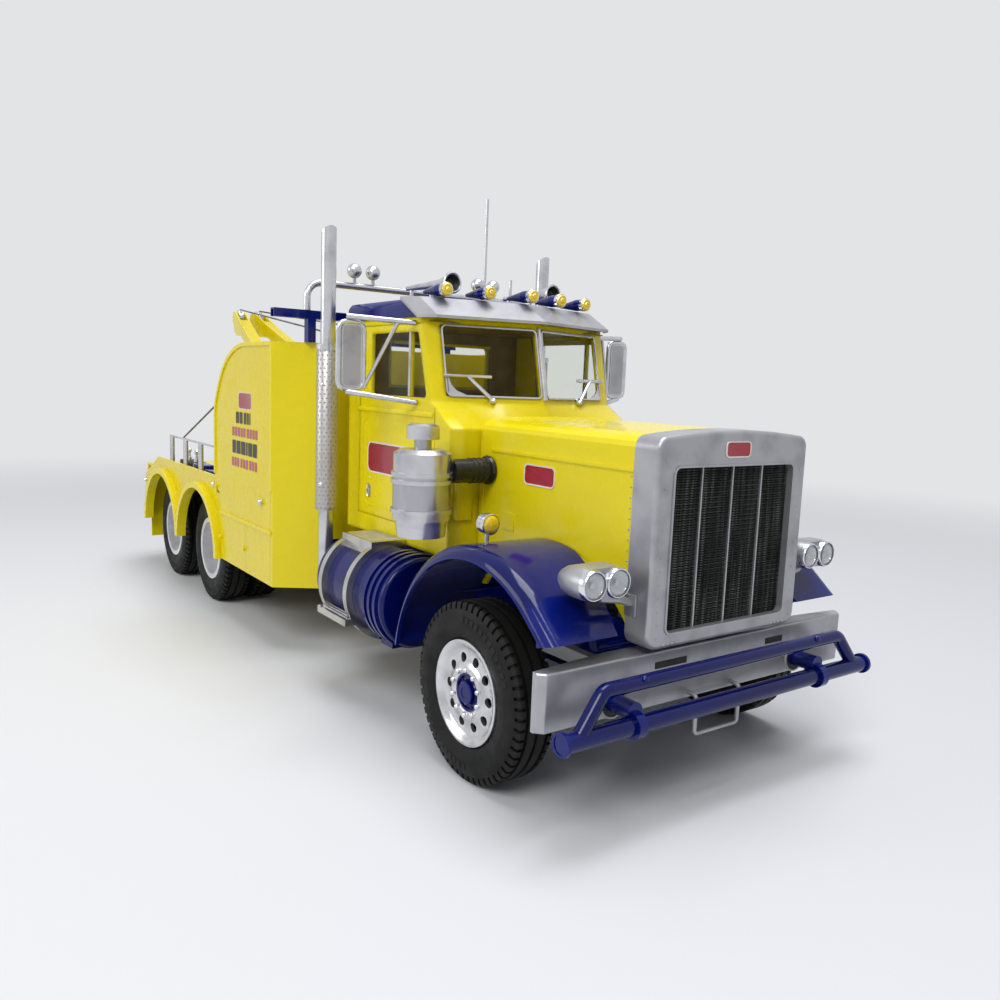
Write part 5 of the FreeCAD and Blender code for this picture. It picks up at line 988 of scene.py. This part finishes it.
def fit_mirrors():
    bm = bmesh.new()
    for side in both:
        plate(bm, (-58.9, side * mirror_y, mirror_z), (0, -3.1, 0), (0, 0, 8.6), 1.4, 0.25, 0.25)
        plate(bm, (-57.9, side * mirror_y, mirror_z), (0, 3.0, 0), (0, 0, 8.4), 1.4, 0.18, 0.3)
    piece("mirror_faces", bm, [pale_silver, silver])


def fit_rope():
    # Rope on the winches and grooved sheaves in the boom heads.
    bm = bmesh.new()
    for side in both:
        turns = [(-6.3, 4.2)]
        for n in range(rope_turns):
            along = rope_pitch * n
            turns += [(-6.2 + along, 4.3), (-6.0 + along, 4.62), (-5.7 + along, 4.62)]
        turns += [(6.4, 4.2), (-6.3, 4.2)]
        lathe(bm, turns, (-114.0, side * 14.0, 58.0), (0, 1, 0), 32)
    piece("winch_rope", bm, cable)
    for side, name in sides:
        foot = Vector((-133.0, side * 22.0, 58.0))
        head = Vector((-262.0, -0.5 if side > 0 else -9.5, 118.2))
        cross = Vector(upward).cross(head - foot).normalized()
        bm = bmesh.new()
        lathe(bm, [(-1.1, 0.7), (-1.1, 3.75), (-0.95, 4.0), (-0.75, 4.0), (-0.25, 3.2), (0.25, 3.2),
                   (0.75, 4.0), (0.95, 4.0), (1.1, 3.75), (1.1, 0.7), (-1.1, 0.7)], head, cross, 40)
        piece("sheave_" + name, bm, foil, name + "_boom", ("boom_sheave_" + name,))


def fit_cab_inside():
    # Lining of the back wall and roof, a bar over the rear window, the steering wheel.
    bm = bmesh.new()
    back = (-91.2, -90.8)
    brick(bm, *back, -31.0, 31.0, 46.5, 89.2, 0.1, 1)
    brick(bm, *back, -31.0, 31.0, 104.2, 108.3, 0.1, 1)
    for side in both:
        brick(bm, *back, side * 19.4, side * 31.0, 89.2, 104.2, 0.1, 1)
    brick(bm, -90.8, -45.5, -30.6, 30.6, 107.6, 107.9, 0.1, 1)
    piece("cab_lining", bm, inside)
    bm = bmesh.new()
    brick(bm, -90.7, -90.0, -18.4, 19.2, 103.2, 104.2, 0.2)
    piece("window_bar", bm, yellow_enamel)
    bm = bmesh.new()
    tilt = math.radians(35.0)
    hub, axis = (-54.0, 15.5, 82.0), Vector((-math.sin(tilt), 0, math.cos(tilt)))
    lathe(bm, circle_points(8.6, 0.8), hub, axis, 56)
    lathe(bm, [(-1.2, 0), (-1.2, 1.9), (0.6, 1.9), (1.0, 1.2), (1.0, 0)], hub, axis, 24)
    piece("steering_grip", bm, hose)


# Engine under the hood

fan_blades, fan_pitch = 6, 0.45


def engine_top(iron, bright):
    # Three ribbed rocker covers, each with its bolts and a filler cap.
    for n in range(3):
        x = -26.0 + 14.0 * n
        brick(bright, x, x + 12.6, -5.6, 5.6, 67.9, 71.6, 0.9, 3)
        brick(iron, x - 0.4, x + 13.0, -6.4, 6.4, 67.9, 68.7, 0.2, 1)
        for k in range(5):
            rib = x + 1.6 + 2.2 * k
            brick(bright, rib, rib + 0.6, -4.4, 4.4, 71.5, 72.1, 0.15, 1)
        for y in (-6.0, 6.0):
            for way in (1.2, 6.3, 11.4):
                dome(bright, (x + way, y, 68.7), upward, 0.4, 0.4, 6)
        lathe(bright, [(0, 0), (0, 1.4), (1.0, 1.5), (1.3, 1.2), (1.3, 0)], (x + 6.3, 0, 72.0), upward, 16)


def engine_sides(iron, bright):
    # Exhaust runners and blower on the right, intake box and two filters on the left.
    for n in range(6):
        x = -23.5 + 7.2 * n
        tube(iron, [(x, -10.3, 60.0), (x, -12.4, 60.0), (x, -13.6, 58.8)], 1.25, rows=3)
        brick(iron, x - 2.0, x + 2.0, -11.0, -10.45, 58.2, 61.8, 0.3)
        brick(iron, x - 2.9, x + 2.9, 10.45, 11.1, 53.0, 64.0, 0.4)
    tube(iron, [(-25.0, -14.0, 58.4), (14.4, -14.0, 58.4)], 1.9, rows=4)
    brick(bright, -25.5, 14.5, 10.9, 14.6, 55.0, 61.0, 1.2, 4)
    lathe(bright, [(-3.2, 0), (-3.2, 2.2), (-2.4, 3.6), (-0.8, 3.9), (0.6, 3.4), (1.6, 1.9), (3.6, 1.7),
                   (3.8, 1.2), (2.4, 0)], (-4.0, -15.2, 64.2), ahead, 32)
    for x in (-17.0, -10.6):
        lathe(bright, [(0, 0), (0, 2.5), (0.6, 2.8), (11.4, 2.8), (12.0, 2.5), (12.2, 1.4), (13.4, 1.3),
                       (13.4, 0)], (x, 13.8, 33.0), upward, 28)
        brick(iron, x - 2.2, x + 2.2, 10.3, 15.0, 46.2, 48.2, 0.4)


def engine_front(iron, bright, dark):
    # Three pulleys with their belt, the fan, two hoses and the radiator with its fins.
    for z, r, y in ((44.4, 4.4, 0.0), (58.0, 3.0, -5.4), (61.0, 2.4, 6.2)):
        lathe(iron, [(15.9, 0), (15.9, r), (16.5, r), (16.8, r - 0.6), (17.1, r), (17.7, r), (17.7, 1.2),
                     (18.3, 1.1), (18.3, 0)], (0, y, z), ahead, 32)
    belt = ((-7.9, 59.4), (7.2, 63.2), (8.2, 60.4), (4.0, 42.4), (0.0, 39.8), (-4.2, 43.0))
    tube(dark, [(16.8, y, z) for y, z in belt], 0.5, cyclic=True)
    hub = (18.6, 0, 56.5)
    for k in range(fan_blades):
        blade = bmesh.new()
        brick(blade, -0.2, 0.2, -1.9, 1.9, 2.0, 13.2, 0.15, 1)
        turned(blade, blade.verts, fan_pitch, "Z")
        turned(blade, blade.verts, tau * k / fan_blades, "X")
        bmesh.ops.translate(blade, verts=blade.verts, vec=hub)
        pour(iron, blade, "blade")
    lathe(iron, [(-2.7, 0), (-2.7, 2.0), (-0.7, 3.2), (0.5, 3.2), (0.8, 2.6), (0.8, 0)], hub, ahead, 24)
    tube(dark, [(13.0, 5.6, 67.0), (15.4, 6.4, 71.0), (20.6, 8.0, 71.4)], 1.7, rows=4)
    tube(dark, [(13.0, 12.4, 36.0), (17.6, 13.2, 38.0), (20.6, 13.4, 43.6)], 1.7, rows=4)
    for side in both:
        brick(iron, 19.6, 25.9, side * 17.6, side * 19.5, 40.4, 74.3, 0.4)
    brick(iron, 19.4, 26.0, -19.5, 19.5, 71.8, 75.0, 1.2, 4)
    lathe(bright, [(0, 0), (0, 2.0), (0.9, 2.1), (1.3, 1.6), (1.3, 0)], (22.7, -9.0, 74.9), upward, 20)
    for n in range(30):
        y = -17.1 + 1.18 * n
        brick(dark, 19.75, 20.1, y - 0.2, y + 0.2, 40.6, 71.8)


def fit_engine():
    # What shows with the hood tilted.
    iron, bright, dark = bmesh.new(), bmesh.new(), bmesh.new()
    engine_top(iron, bright)
    engine_sides(iron, bright)
    engine_front(iron, bright, dark)
    piece("engine_castings", iron, underside)
    piece("engine_covers", bright, silver)
    piece("engine_hoses", dark, hose)


fit_wheels()
fit_engine()
fit_grille()
fit_badges()
fit_plain_bars()
fit_screen_trim()
fit_door_trim()
fit_lamps()
fit_headlamps()
fit_horns()
fit_stack_guards()
fit_tank_tread()
fit_body_hardware()
fit_tail_trim()
fit_deck_tread()
fit_front_hardware()
fit_mirrors()
fit_rope()
fit_cab_inside()
